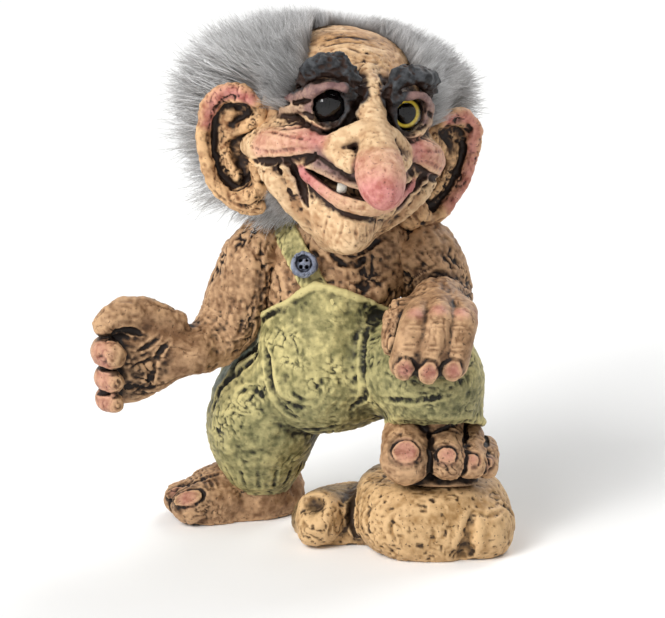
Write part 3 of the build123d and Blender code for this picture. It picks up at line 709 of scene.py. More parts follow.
def iris_enamel():
    """Glossy paint behind the glass: a black pupil, an amber ring and a dark rim."""
    material, add, shader = blank_material("iris_enamel", Roughness=0.5, Specular_IOR_Level=0.0)
    place = add("ShaderNodeTexCoord").outputs["Object"]
    threads = add("ShaderNodeTexNoise", {"Vector": place, "Scale": 1 / (0.7 * MM), "Detail": 2.0})
    ring = add("ShaderNodeAttribute", attribute_name="amber").outputs["Fac"]
    amber = add("ShaderNodeMix", {0: threads, 6: colour("#d9a81e"), 7: colour("#ffee66")}, data_type="RGBA")
    tone = add("ShaderNodeMix", {0: ring, 6: colour("#080506"), 7: amber}, data_type="RGBA")
    plug(shader, {"Base Color": tone})
    return material


def drawn_wire():
    """Drawn steel wire: grey, with fine scratches along it."""
    material, add, shader = blank_material("drawn_steel_wire", Metallic=1.0)
    place = add("ShaderNodeTexCoord").outputs["Object"]
    scratches = add("ShaderNodeTexNoise", {"Vector": place, "Scale": 1 / (0.5 * MM), "Detail": 4.0})
    tone = add("ShaderNodeMix", {0: scratches, 6: colour("#8a8a8e"), 7: colour("#bdbdc2")}, data_type="RGBA")
    rough = add("ShaderNodeMapRange", {"Value": scratches, "To Min": 0.25, "To Max": 0.5})
    plug(shader, {"Base Color": tone, "Roughness": rough})
    return material


def grey_hide():
    """Thin tanned hide that the fur grows from: matt, grey and finely grained."""
    material, add, shader = blank_material("grey_fur_hide", Roughness=0.8)
    place = add("ShaderNodeTexCoord").outputs["Object"]
    pores = add("ShaderNodeTexVoronoi", {"Vector": place, "Scale": 1 / (1.2 * MM)})
    spread = add("ShaderNodeMapRange", {"Value": pores, "From Max": 0.6})
    tone = add("ShaderNodeMix", {0: spread, 6: colour("#7b7672"), 7: colour("#aaa5a1")}, data_type="RGBA")
    bump = add("ShaderNodeBump", {"Height": pores, "Distance": 0.3 * MM})
    plug(shader, {"Base Color": tone, "Normal": bump})
    return material


def silver_fur():
    """Long silky fur: grey strands, darker at the root, each with its own shade and a soft shine."""
    material, add, shader = blank_material("silver_fur", Roughness=0.5, Specular_IOR_Level=0.35)
    reach = add("ShaderNodeAttribute", attribute_name="reach").outputs["Fac"]
    shade = add("ShaderNodeAttribute", attribute_name="shade").outputs["Fac"]
    settings = bpy.context.scene.troll_settings
    strand = add("ShaderNodeMix", {0: shade, 6: settings.fur_dark, 7: settings.fur_light}, data_type="RGBA")
    rise = add("ShaderNodeMapRange", {"Value": reach, "From Max": 0.7})
    tone = add("ShaderNodeMix", {0: rise, 6: settings.fur_root, 7: strand}, data_type="RGBA")
    plug(shader, {"Base Color": tone})
    return material


# Head


def head_place(across, forward, up):
    """A place on the head in its own millimetres, from shares of its half sizes."""
    return np.array((across, -forward, up)) * HEAD_HALF


HEAD_AXES = (turn_about(2, HEAD_TURN) @ turn_about(1, HEAD_ROLL)).T
EYE_RADIUS, EYE_DOME, EYE_SEAT, EYE_SPLAY, EYE_CUTS = 7.0, 4.4, 2.4, 11, 40
DOME_RADIUS = (EYE_RADIUS**2 + EYE_DOME**2) / (2 * EYE_DOME)


def eye_axes(side):
    """Right, up and outward of one eye in the head's own axes, and the middle of its glass dome."""
    outward = np.array((side * sin(radians(EYE_SPLAY)), -cos(radians(EYE_SPLAY)), 0))
    upward = np.array((0.0, 0, 1))
    centre = head_place(side * 0.465, 1.05, 0.38) - outward * (DOME_RADIUS - EYE_DOME)
    return np.array((np.cross(upward, outward), upward, outward)), centre


def both_sides(rows):
    """Rows for the figure's left side, then the same mirrored to its right."""
    rows = np.array(rows, float)
    return rows, rows * ([-1] + [1] * (rows.shape[1] - 1))


# Shares of a form's height and half sizes, bottom to top, and of its middle's way left and front
SKULL = [
    (-0.96, 0.16, 0.18, 0, 0.73), (-0.85, 0.33, 0.36, 0, 0.76), (-0.68, 0.5, 0.54, 0, 0.67),
    (-0.47, 0.73, 0.73, 0, 0.48), (-0.26, 0.89, 0.85, 0, 0.3), (-0.04, 1.0, 0.94, 0, 0.18),
    (0.17, 0.97, 1.0, 0, 0.09), (0.38, 0.89, 1.0, 0, 0.03), (0.6, 0.78, 0.98, 0.02, -0.03),
    (0.76, 0.64, 0.88, 0.04, -0.12), (0.88, 0.46, 0.68, 0.05, -0.18), (0.95, 0.26, 0.4, 0.05, -0.21),
]
# Rows of x to the figure's left, y to its back, z up and a radius, in millimetres
NOSE = [
    (0, -27, 33, 2.4), (0, -33, 27.5, 4.6), (0, -39.4, 19, 5.4), (0, -46.5, 11.5, 6), (0, -53, 6, 7.6),
    (0, -60, -1, 9.9), (0.3, -65.5, -6, 9.9), (0.6, -68.5, -9.5, 7.4),
]
BROW = [
    (28, -24.5, 24.5, 2.8), (26.5, -29.5, 30, 4.4), (21.5, -33.3, 34, 5), (15.5, -35, 34.5, 5),
    (10.5, -36.5, 31, 4.2), (8, -37.5, 25.5, 2.8),
]
CHEEK = [(15, -26, 3, 6), (24, -24, 1, 9.5), (31.5, -16, -3, 9.8), (38, -5, -7, 5.5)]
CHEEK_LOBE = [
    (19, -35.5, 2.5, 3.4), (24.5, -33.5, 2.3, 6), (31, -28.5, -0.5, 6.8), (36.5, -19, -4, 5.4),
    (39, -9, -6.5, 3.8),
]
WING = [(6, -47, 10, 4.5), (13, -43.5, 5, 4.6), (18.5, -38, 2.5, 3)]
WING_EDGE = [(18.5, -38, 2.2, 2.6), (14.5, -44.5, 0, 4), (9.5, -51, -1.5, 4.8)]
EYE_BAG = [(26, -31, 12, 1.4), (21.5, -35, 10, 1.9), (16, -36.5, 9.6, 2), (10.5, -36, 11.5, 1.5)]
LID_FOLD = [
    (9.5, -39, 23.5, 1.2), (13, -41, 26, 1.9), (18, -40.5, 26.5, 2.2), (23, -37, 24.6, 2.4),
    (27.5, -30.5, 20.6, 2.6), (30.5, -22, 17, 2.0),
]
CROW_FOOT = [(27, -31.5, 15.2, 1.8), (29.5, -25.5, 13.4, 2.2), (31.5, -19, 11.5, 1.8)]
JOWL = [
    (37, -15, -8, 4.5), (33, -21, -14, 5.2), (28, -24, -20.5, 4.8), (21.5, -24.5, -28, 4), (15, -24, -34, 3)
]
JOWL_EDGE = [(31, -30, -7, 2.2), (27.5, -28.8, -13, 2.6), (23, -28.6, -20, 2.4), (18, -29, -26, 1.8)]
UPPER_LIP = [
    (-24, -30, -8.5, 1.6), (-19, -36, -7.8, 2.4), (-13, -41, -9.3, 2.8), (-6, -44, -11.8, 2.8),
    (3, -44.5, -13, 2.8), (11, -42, -12, 2.8), (19, -36, -10, 2.4), (25, -30, -9, 1.6),
]
MUZZLE = [(-17, -33, -2, 5), (-9, -39, -4, 6.5), (0, -41, -5, 7), (9, -39, -4.5, 6.5), (17, -33, -3, 5)]
LOWER_LIP = [
    (-24, -30, -9.5, 1.6), (-19.5, -35, -13, 2.6), (-13, -40.5, -17, 3.3), (-5, -44, -19.8, 3.9),
    (4, -44.5, -20.6, 3.9), (13, -41, -19, 3.3), (20, -35.5, -15, 2.6), (25.5, -30, -10.5, 1.6),
]
MOUTH = [
    (-22, -33, -9, 0.8), (-17, -37.5, -11, 1.8), (-8, -43.5, -14.6, 2.9), (5, -44.5, -16.2, 2.9),
    (16, -39, -13.5, 2), (23, -33, -10, 0.8),
]
CHIN = [(-3, -16, -20, 8), (-3, -28, -26.5, 11.5), (-2.2, -36, -32, 10.5), (-2.2, -42, -35.5, 6)]
# Creases hold a width, a depth and a path. Those at the sides are mirrored
FRONT_CREASES = [
    (0.9, 1.0, [(-15.2, -6, 39.7), (-10, -7, 42), (-4, -8, 43.4), (4, -10, 43.4), (10.5, -11.5, 41.8)]),
    (0.8, 0.9, [(-16, -10, 37.8), (-11, -11.5, 40), (-5, -13, 41.8), (3, -15.5, 41.6), (11, -15.5, 40)]),
    (0.8, 0.9, [(-14, -14, 37.6), (-8, -16, 39.7), (-2, -20, 38.6), (6, -20, 38.6)]),
    (0.7, 0.8, [(-11, -19, 36.6), (-5, -23, 36.8), (2, -25, 36), (9, -22, 36.4)]),
    (0.6, 0.5, [(-4.5, -43, 14), (0, -46.5, 14.5), (4.5, -43, 14)]),
    (0.6, 0.5, [(-4, -40, 19.5), (0, -44.5, 20), (4.5, -40, 19)]),
    (0.7, 0.6, [(-13, -42, -24), (-12, -40, -29), (-9, -37, -36)]),
    (0.7, 0.7, [(-7, -45, -26), (-6.5, -45, -31), (-5, -40, -38)]),
    (0.7, 0.6, [(-1, -47, -27), (-1, -47, -32), (-1, -41, -39)]),
    (0.7, 0.7, [(5, -46, -26), (4.5, -45, -31), (3, -40, -38)]),
    (0.7, 0.6, [(11, -42, -24), (9, -40, -30), (7, -37, -36)]),
]
SIDE_CREASES = [
    (1.0, 1.0, [(34, -29, 4.6), (30, -33, 6.6), (25.7, -34, 8), (20, -33, 7.6)]),
    (0.7, 0.6, [(36, -24, 6), (32, -29, 8.6), (27, -31, 11), (22, -33, 11.6)]),
    (1.6, 2.0, [(39, -16, -11), (35, -27, -8.6), (28, -34, -5.5), (22, -37, -2.6), (19, -37.5, 0)]),
    (1.3, 1.6, [(19.5, -38, 1), (21, -37, -3), (23.5, -34, -7.5)]),
    (
        1.4, 2.4,
        [(32, -32, -5.5), (28, -31, -9.8), (23.5, -30, -14.5), (20.8, -31, -19.4), (18.5, -31.5, -25)],
    ),
    (0.8, 1.1, [(34.5, -29, -7.5), (30.2, -26, -13), (26.5, -25, -18), (23, -26, -24)]),
    (0.7, 0.9, [(37.5, -20, -9), (34, -22, -15), (29, -23, -21), (23, -24.5, -28)]),
    (1.7, 2.6, [(7.2, -38, 27), (6.6, -37.5, 20.5), (7.5, -38.5, 14), (10, -38.5, 10)]),
    (1.1, 1.2, [(28.5, -27.5, 19.2), (31, -21, 16), (33, -14, 14)]),
    (0.9, 1.1, [(23.5, -36, 22.4), (27.5, -31, 19.6), (30.4, -23, 16)]),
    (1.0, 1.2, [(27, -31, 14.5), (22, -36, 12.2), (16.5, -38.5, 11.6), (11, -37.5, 13.5)]),
    (0.8, 0.8, [(24, -33, 8), (18, -36, 6.4), (13, -37, 7)]),
    (1.0, 1.2, [(10, -37, 37.5), (14, -35, 40), (20, -32, 40), (25, -28, 37)]),
    (0.8, 0.9, [(12, -31, 40.8), (17, -29, 42), (22, -25, 40.5)]),
    (0.9, 1.2, [(22, -36.5, -1), (17.5, -40, -3.5), (11, -44, -6)]),
    (0.8, 0.9, [(22, -38, 3.5), (27, -36, 3), (33, -29, 1), (38, -18, -1)]),
    (0.8, 0.8, [(24, -38, 0.5), (30, -34, -1), (36, -25, -3.5), (39, -14, -5)]),
]


def model_head(cell):
    """The face, skull and mouth as clay, in the head's millimetres."""
    clay = Clay((-48, -88, -52), (48, 36, 50), cell)
    clay.add(loft((0, 0, 0), UP, (1, 0, 0), oval_rows(SKULL, SKULL_HEIGHT, SKULL_WIDTH, SKULL_DEPTH)))
    clay.add(tube(CHIN), 5)
    clay.add(tube(MUZZLE), 5)
    for side_rows, blend in ((CHEEK, 5), (JOWL, 3), (BROW, 1.2)):
        for rows in both_sides(side_rows):
            clay.add(tube(rows), blend)
    clay.add(tube(NOSE), 3.5)
    for side_rows, blend in ((WING, 3), (WING_EDGE, 2), (CHEEK_LOBE, 3), (JOWL_EDGE, 1.5), (EYE_BAG, 1.4)):
        for rows in both_sides(side_rows):
            clay.add(tube(rows), blend)
    for side in (-1, 1):
        clay.add(ball(eye_axes(side)[1], DOME_RADIUS + 1.7), 2.2)
    for side_rows in (LID_FOLD, CROW_FOOT):
        for rows in both_sides(side_rows):
            clay.add(tube(rows), 1.8)
    clay.add(tube(UPPER_LIP), 2)
    clay.add(tube(LOWER_LIP), 1.6)
    clay.cut(tube(MOUTH, flat=0.8), 1.2)
    inner = np.array(MOUTH) + (0, 6, 1.5, 1.0)
    clay.cut(tube(inner), 1.5)
    for side in (-1, 1):
        axes, centre = eye_axes(side)
        opening = [
            (*(centre + axes[2] * reach), radius) for reach, radius in ((-1, 6.9), (5, 6.9), (12, 8.4))
        ]
        clay.cut(tube(opening), 0.7)
        clay.cut(ball(centre, DOME_RADIUS + 0.1), 0.3)
    for width, depth, path in FRONT_CREASES:
        clay.score(path, width, depth)
    for width, depth, path in SIDE_CREASES:
        for rows in both_sides(path):
            clay.score(rows, width, depth)
    return clay


def paint_head(skin):
    """Crown, nose, lips, cheeks and brows in their own paints, with violet-brown painted shade on the lids,
    over the eyes, under the nose and by the mouth's corners, and charcoal painted shade in the eye sockets
    and beside the nose.
    """
    skin.spray("umber", [(-12, -4, 42), (-4, -9, 44), (6, -9, 44), (14, -6, 41)], 7, 3.5, 0.85)
    skin.spray("umber", [(-14, -20, 38), (-4, -24, 39), (6, -23, 39), (14, -18, 38)], 4, 3, 0.6)
    skin.spray("blush", [(0, -61, -3), (0, -66, -7), (0, -70, -12)], 10.5, 2.5, 0.85)
    skin.spray("blush", np.array(LOWER_LIP)[:, :3], 3.4, 1.2)
    skin.spray("blush", np.array(UPPER_LIP)[1:-1, :3] + (0, -1, -1), 1.6, 1.2, 0.6)
    for rows in both_sides(CHEEK_LOBE):
        skin.spray("blush", rows[:4, :3] + (0, -2, 0.5), 5.6, 4, 0.85)
    for rows in both_sides(BROW):
        skin.spray("soot_and_shade", rows[:, :3] + (0, -2, 0), 5.8, 1.0)
        skin.spray("soot_and_shade", rows[:, :3] + (0, -3, 3), 5.5, 1.0)
        skin.spray("tuft", rows[:, :3] + (0, -2, 0), 4.5, 1.5)
    skin.raise_by(skin.paint.pop("tuft") * 1.2 * lumps(skin.points, 3.0, 77, 2))
    # Violet-brown painted shade in the folds of the lids and at the eyes' outer corners
    for rows in both_sides(LID_FOLD):
        skin.spray("violet_shade", rows[:, :3], 3.6, 1.6, 0.95)
    for rows in both_sides(CROW_FOOT):
        skin.spray("violet_shade", rows[:, :3], 3.2, 1.8, 0.6)
    # Violet-brown painted shade round the top of each eye, and charcoal painted shade in each socket, deepest
    # by the nose
    for side in (-1, 1):
        axes, centre = eye_axes(side)
        ring = [
            centre + axes[2] * 5 + (axes[0] * cos(a) + axes[1] * sin(a)) * 8.6
            for a in np.linspace(-0.3, 3.4, 9)
        ]
        skin.spray("violet_shade", ring, 3, 1.8, 0.9)
        skin.spray("soot_and_shade", [centre + axes[2] * 5 - (side * 3.2, 0, 0)], 9.6, 1.4, 0.9)
    # Charcoal painted shade in the creases beside the nose
    for rows in both_sides([(7.6, -38, 27), (7.4, -38, 20), (8, -38.5, 13), (11, -38, 9.5)]):
        skin.spray("soot_and_shade", rows, 2.8, 1.2)
    # Violet-brown painted shade under the nose and in the creases from the mouth's corners
    skin.spray("violet_shade", np.array(MUZZLE)[:, :3] + (0, -5, -1), 6.5, 2.5, 0.9)
    for rows in both_sides([(31, -31, -6), (27, -30, -11), (23, -30, -16), (20.5, -31, -21)]):
        skin.spray("violet_shade", rows, 2.6, 1.6, 0.9)


# Body


ARM_WAY = [(-0.06, 0), (0.1, 0.2), (0.3, 0.7), (0.55, 1), (0.8, 0.7), (1, 0)]
RIGHT_SHOULDER, RIGHT_WRIST = np.array((-32.0, 4, 124)), np.array((-62.0, -14, 83))
LEFT_SHOULDER, LEFT_WRIST = np.array((37.0, 4, 124)), np.array((44.5, -27, 106.5))
RIGHT_ARM = between(
    RIGHT_SHOULDER,
    RIGHT_WRIST,
    (3, 6, -11.25),
    [(*way, radius) for way, radius in zip(ARM_WAY, (10.5, 14.4, 15, 13.6, 11.4, 9.6))],
)
LEFT_ARM = between(
    LEFT_SHOULDER,
    LEFT_WRIST,
    (5.25, 16.5, -12),
    [(*way, radius) for way, radius in zip(ARM_WAY, (11.1, 15.6, 15.9, 14.1, 12, 10.3))],
)
PALM_TURN = radians(197)
PALM_ALONG = np.array((cos(PALM_TURN), sin(PALM_TURN), 0))
PALM_FRONT = np.cross(UP, PALM_ALONG)


def on_palm(along, front, up):
    """A place on the right hand, from its wrist."""
    return RIGHT_WRIST + PALM_ALONG * along + PALM_FRONT * front + UP * up


def nail(clay, place, outward, toward, half_width, half_length, depth=0.7):
    """Presses a flat nail on a finger or toe, with a groove round its root, and gives its place."""
    place = clay.settle([np.array(place, float)])[0]
    outward = unit(outward)
    toward = square_to(toward, outward)
    side = np.cross(outward, toward)
    clay.add(ball(place, (half_width, half_length, 1.0), (side, toward, outward)), 0.6)
    rim = [(1.05, 0.9), (1.12, -0.3), (0.62, -1.05), (-0.62, -1.05), (-1.12, -0.3), (-1.05, 0.9)]
    path = [place + outward * 0.5 + side * half_width * a + toward * half_length * b for a, b in rim]
    clay.score(path, 0.7, depth, power=0.25)
    return place


RIGHT_PALM = [
    (-8, 8.8, 8.6, 0, 0), (0, 10, 9, 0, 0), (8, 14.5, 9.5, 0, 0), (17, 18.5, 9.6, -0.6, 0),
    (26, 19.3, 9.2, -1.4, 0), (33, 17, 7.8, -2.2, 0.5), (37.5, 12.5, 5, -2.4, 1),
]
# Each finger's height on the palm and its radius
RIGHT_FINGERS = [(4.4, 6.1), (-7, 4.9), (-16.4, 4.7)]


def model_right_arm(cell):
    """The arm held out to the side, with its hand open to the front."""
    clay = Clay((-110, -50, 58), (-12, 22, 142), cell)
    clay.add(tube(RIGHT_ARM))
    clay.add(loft(RIGHT_WRIST, PALM_ALONG, UP, RIGHT_PALM, 5), 5)
    thumb = [
        (6, 0, 12, 6.4), (17, 0, 17.5, 7.2), (27, 2.5, 18.6, 6.9), (34, 5, 17.4, 6), (37.5, 6, 15.5, 4.8)
    ]
    clay.add(tube(placed(on_palm, thumb)), 2.5)
    clay.cut(ball(on_palm(19, 17.5, -4), (11.5, 10, 12.5), (PALM_ALONG, PALM_FRONT, UP)), 4)
    for up, radius in RIGHT_FINGERS:
        curl = [(24, 0, up), (34.5, 1.5, up), (37.2, 8, up), (35, 13.5, up - 0.5)]
        rows = [(*place, radius * share) for place, share in zip(curl, (0.9, 1, 1.04, 0.86))]
        clay.add(tube(placed(on_palm, rows)), 0.9)
    clay.score([on_palm(21, 12, 11.6), on_palm(28, 12, 12), on_palm(36, 12, 12)], 1.2, 1.8)
    for up in (-1.2, -12.6):
        clay.score([on_palm(26, 9, up), on_palm(37, 12, up), on_palm(43, 6, up)], 1.1, 1.8)
    for path in (
        [(9, 10, 8), (14, 10, 3), (17, 10, -4), (17, 10, -12)],
        [(13, 10, 11), (19, 10, 6), (24, 10, 4)],
        [(21, 10, -2), (18, 10, -8), (22, 10, -14)],
        [(12, 10, 0), (20, 10, -1), (27, 10, -3)],
    ):
        clay.score(placed(on_palm, path), 1.0, 1.3)
    for up, radius in RIGHT_FINGERS[1:]:
        ring = [on_palm(34 + 2.6 * cos(a), 21, up + 2.6 * sin(a)) for a in np.linspace(0, 6.0, 9)]
        clay.score(ring, 0.6, 0.7, power=0.1)
    return clay


def paint_right_arm(skin):
    """The reddened fingers, where the skin is calm, and near-black: dark wash with painted shade in the
    cupped palm and under the thumb, and painted shade on the inner side of the arm and elbow, by the body.
    """
    # Near-black in the cupped palm and under the thumb: dark wash and painted shade
    skin.spray("stain_and_shade", [on_palm(24, 9, 1), on_palm(22, 9, -5), on_palm(24, 9, -14)], 6, 2.5, 1.0)
    skin.spray("stain_and_shade", [on_palm(13, 10, 1), on_palm(14, 10, -6)], 4, 2.5, 0.9)
    skin.spray("stain_and_shade", [on_palm(22, 10, 10.5), on_palm(31, 10, 11.5)], 3.4, 2, 1.0)
    # Painted shade on the inner side of the arm and elbow, by the body, and near the wrist
    skin.spray("stain_and_shade", [(-27, -9, 112), (-29, -9, 100), (-35, -10, 92)], 5, 4.5, 0.9)
    skin.spray("stain_and_shade", [(-42, -13, 85)], 3.5, 3, 0.8)
    skin.spray("blush", [on_palm(40, 12, up) for up in (6, -7, -17)], 6, 4, 0.35)
    skin.spray("calm", [on_palm(4, 0, 0), on_palm(34, 0, 8), on_palm(34, 4, -16)], 14, 4)


LEFT_FINGERS = [
    [
        (36, -45, 107.5, 6.6), (34, -56.5, 105.5, 6.8), (31.3, -60.6, 98, 6.3), (29.7, -60, 91, 6.4),
        (29.2, -59.5, 88.6, 4.8),
    ],
    [
        (44.8, -45, 108.5, 6.8), (43.4, -57, 106.5, 7), (41, -61.4, 98, 6.5), (39.6, -61, 90, 6.6),
        (39, -60, 87.4, 4.8),
    ],
    [
        (53.6, -44, 107.2, 6.6), (52.8, -55.5, 105, 6.8), (51, -60.4, 97, 6.3), (49.6, -60.2, 90.4, 6.3),
        (49, -59.5, 88, 4.6),
    ],
]


def model_left_arm(cell):
    """The arm bent over the knee, with three fingers and a thumb hanging down."""
    clay = Clay((14, -74, 78), (68, 28, 144), cell)
    clay.add(tube(LEFT_ARM))
    rows = [
        (-7, 9.6, 9.2, 0, 0), (0, 11.2, 8.6, 0, 0), (8, 14.2, 7.8, 0, 1), (16, 15.8, 7, 0, 1.6),
        (22, 14.8, 6, 0, 0.6),
    ]
    clay.add(loft(LEFT_WRIST, (0, -1, 0), (1, 0, 0), rows, 4), 5)
    thumb = [
        (34, -31, 106, 6), (28.5, -39, 106.5, 6.1), (26.3, -44, 103, 5.5), (25, -46, 96.5, 4.9),
        (24.6, -46, 93, 3.8),
    ]
    clay.add(tube(thumb), 2)
    for finger in LEFT_FINGERS:
        clay.add(tube(finger), 1.1)
    for first, second in zip(LEFT_FINGERS, LEFT_FINGERS[1:]):
        middle = (np.array(first) + second)[1:, :3] / 2
        clay.score(middle + (0, -3, 1), 0.9, 1.6, settle=False)
    for finger in LEFT_FINGERS:
        x, y, z, radius = finger[-2]
        place = (x - 0.4, y - radius, z - 1.6)
        nail(clay, place, (0, -1, -0.12), (-0.15, 0, -1), radius * 0.72, radius * 0.78)
        for level in (1, 2):
            x, y, z, radius = finger[level]
            for shift in (-1.2, 0.8):
                place = np.array((x, y - radius, z + shift + 1.5))
                clay.score([place - (3, 0, 0), place, place + (3, 0, 0)], 0.6, 0.5)
    nail(clay, (25.2, -51, 96.5), (-0.1, -1, 0), (0, 0, -1), 2.4, 3.4)
    return clay


def paint_left_arm(skin):
    """The reddened knuckles and nails, painted shade in the armpit and on the upper arm's outer side, and
    where the skin is calm.
    """
    for finger in LEFT_FINGERS:
        x, y, z, radius = finger[-2]
        skin.spray("blush", [(x, y - radius, z - 1)], 3.4, 2.4, 0.45)
        x, y, z, radius = finger[1]
        skin.spray("blush", [(x, y - 2, z + radius)], 3.4, 3, 0.45)
        skin.spray("calm", np.array(finger)[:, :3], 9, 3)
    skin.spray("blush", [(56.5, -50, 105)], 5, 4, 0.5)
    # Painted shade in the armpit and down the inner arm, and a light painted shade on the upper arm's outer
    # side, away from the key lamp
    skin.spray("stain_and_shade", [(30, -4, 118), (33, -8, 108), (36, -22, 100)], 5, 4, 0.85)
    skin.spray("stain_and_shade", [(40, -14, 126), (46, -16, 116), (50, -20, 108)], 8, 6, 0.3)


# From heel to toes: shares of the sole's length, half width and height
FOOT_WAYS = (-0.04, 0.08, 0.3, 0.55, 0.8, 0.96)
FOOT_WIDE = (0.4, 0.62, 0.74, 0.86, 0.98, 0.8)
FOOT_TALL = (0.34, 0.62, 0.86, 0.78, 0.56, 0.3)


class Foot:
    """One bare foot: its heel, the way it points and its toes' rows of aside, radius, start, rise at
    the start, tip and rise at the tip. nail_face holds the way a nail faces: along, aside and up."""

    def __init__(self, heel, turn, size, shin, toes, big_side, nail_face, nail_size):
        self.heel = np.array(heel, float)
        self.length, self.half_width, self.height = size
        self.along = np.array((cos(radians(turn)), sin(radians(turn)), 0))
        self.side = np.cross(UP, self.along) * big_side
        self.shin, self.toes, self.nail_size = shin, toes, nail_size
        self.facing = unit(self.along * nail_face[0] + self.side * nail_face[1] + UP * nail_face[2])

    def place(self, along, aside, up):
        """A place on the foot, from its heel."""
        return self.heel + self.along * along + self.side * aside + UP * up

    def model(self, low, high, cell):
        """The sole, shin and toes as clay, with nails, joints and gaps."""
        clay = Clay(low, high, cell)
        rows = [
            (way * self.length, wide * self.half_width, tall * self.height, 0, self.height * 0.2)
            for way, wide, tall in zip(FOOT_WAYS, FOOT_WIDE, FOOT_TALL)
        ]
        clay.add(loft(self.heel, self.along, self.side, rows, 4))
        clay.add(tube(self.shin), 6)
        for aside, radius, start, rise, tip, up in self.toes:
            rows = [(start, rise, 0.82), ((start + tip) / 2, (rise + up) / 2 + 0.6, 0.94), (tip, up, 1.0)]
            toe = tube([(*self.place(a, aside, u), radius * s) for a, u, s in rows])
            nail_bed = self.place(tip, aside, up) + self.facing * radius * 0.8
            clay.add(trimmed(toe, nail_bed, self.facing, radius * 0.3), 1.4)
        for first, second in zip(self.toes, self.toes[1:]):
            a, a_radius, root, _, a_tip, a_up = first
            b, b_radius, _, _, b_tip, b_up = second
            gap = (a - a_radius + b + b_radius) / 2
            top = (a_up + b_up) / 2 + (a_radius + b_radius) / 3
            tip = (a_tip + b_tip) / 2
            ways = (root - 4, (root + tip) / 2, tip - 2)
            clay.score([self.place(way, gap, top + 3) for way in ways], 1.0, 1.3)
            clay.score([self.place(tip + 4, gap, up) for up in (top, top / 2, 2)], 1.0, 1.6)
        wide, long = self.nail_size
        for aside, radius, _, _, tip, up in self.toes:
            place = self.place(tip, aside, up) + self.facing * radius
            toward = self.along if self.facing @ self.along < 0.5 else -UP
            nail(clay, place, self.facing, toward, radius * wide, radius * long, 0.9)
            for back in (7, 9.5, 12):
                spreads = (-radius * 0.6, 0, radius * 0.6)
                path = [self.place(tip - back, aside + spread, up + radius) for spread in spreads]
                clay.score(path, 0.7, 0.5)
        clay.slice_off(self.heel, -UP, 0.8)
        return clay

    def paint(self, skin):
        """Reddened toe tips, and painted shadow under the toes."""
        for aside, radius, _, _, tip, up in self.toes:
            blush_at = self.place(tip, aside, up) + self.facing * radius * 0.8
            skin.spray("blush", [blush_at], radius * 0.5, 3, 0.4)
            # Painted shadow under each toe
            skin.spray("stain_and_shade", [self.place(tip - 5, aside, min(up - radius, 3))], radius * 0.7, 2.5, 1)


RIGHT_FOOT = Foot(
    (-15, 24, 0),
    196,
    (55, 17, 26),
    [(-31, 14, 8, 12), (-31, 14, 27, 11)],
    [
        (10, 8.4, 36, 11, 52, 8.4), (0.5, 6.8, 38, 12, 55, 8.6), (-7.4, 5.8, 38, 10, 52, 7.6),
        (-13.6, 4.8, 36, 8, 47, 6.4),
    ],
    1,
    (0.3, 0.6, 0.7), (0.5, 0.8),
)
LEFT_FOOT = Foot(
    (45, 1, 31),
    -92,
    (46, 20, 27),
    [(45.5, -20.5, 40, 12), (44, -27, 55, 11), (43.3, -30.3, 63, 11)],
    [
        (12.6, 11, 26, 22, 45, 13), (-4.6, 8.2, 27, 22, 45.5, 12.6), (-15, 6.6, 27, 18, 42, 10),
        (-21.6, 5.4, 25, 13, 36.5, 7.4),
    ],
    -1,
    (0.8, 0, 0.6), (0.58, 0.46),
)

TORSO = [
    (0, 0.8, 1.08, -0.23, 0.18), (0.2, 0.84, 1.03, -0.18, 0.13), (0.4, 0.92, 0.96, -0.09, 0.08),
    (0.62, 0.98, 0.88, -0.01, 0), (0.78, 0.94, 0.82, 0.02, -0.04), (0.9, 0.74, 0.7, 0.03, -0.04),
    (1, 0.45, 0.5, 0.03, -0.05),
]


def torso_form(growth=0.0):
    """The chest and back, grown outwards by some millimetres."""
    return loft((4, 4, 84), UP, (1, 0, 0), oval_rows(TORSO, 58, 33, 22, growth), 3)


def model_torso(cell):
    """The chest and back with the neck's stump, as clay."""
    clay = Clay((-34, -26, 80), (42, 32, 158), cell)
    clay.add(torso_form())
    clay.add(tube([(4, 4, 122, 13.5), (4, 4, 136, 14.6), (4, 4, 154, 14)]), 6)
    for path in (
        [(-4, -22, 128), (6, -20, 122), (18, -18, 124)],
        [(2, -20, 131), (12, -18, 128), (22, -14, 132)],
        [(8, -20, 114), (18, -18, 112), (28, -12, 116)],
    ):
        clay.score(path, 1.3, 1.3)
    return clay


GARMENT = [
    (0, 0.46, 0.5, 0, 0), (0.05, 0.72, 0.74, 0, 0), (0.15, 0.9, 0.94, -0.02, 0.05),
    (0.3, 1.0, 1.04, -0.03, 0.07), (0.44, 0.99, 1.0, -0.01, 0.05), (0.6, 0.96, 0.93, 0.03, 0),
    (0.75, 1.0, 0.85, 0.12, -0.04), (0.9, 1.06, 0.8, 0.2, -0.08), (1, 1.05, 0.76, 0.24, -0.1),
]
GARMENT_ROWS = np.array(oval_rows(GARMENT, 79, 31, 29))
BIB_CUTS = (((-12, -28, 119), (0.329, 0.483, 1)), ((-34.5, 1, 93), (-0.658, 0.121, 1)))
RIGHT_HIP, RIGHT_ANKLE = (-17.5, 8, 71), (-31, 14, 19)
LEFT_HIP, KNEE, OPENING = (10.5, 8, 71), np.array((42.0, -36, 78)), np.array((44.0, -27, 55))
RIGHT_LEG = between(
    RIGHT_HIP,
    RIGHT_ANKLE,
    (-6.25, -3.1, 0),
    [
        (-0.1, 0, 13.7), (0.05, 0, 21.5), (0.22, 0.6, 24.5), (0.45, 1, 25), (0.7, 0.7, 21.5),
        (0.88, 0.25, 17), (1, 0, 14.6),
    ],
)
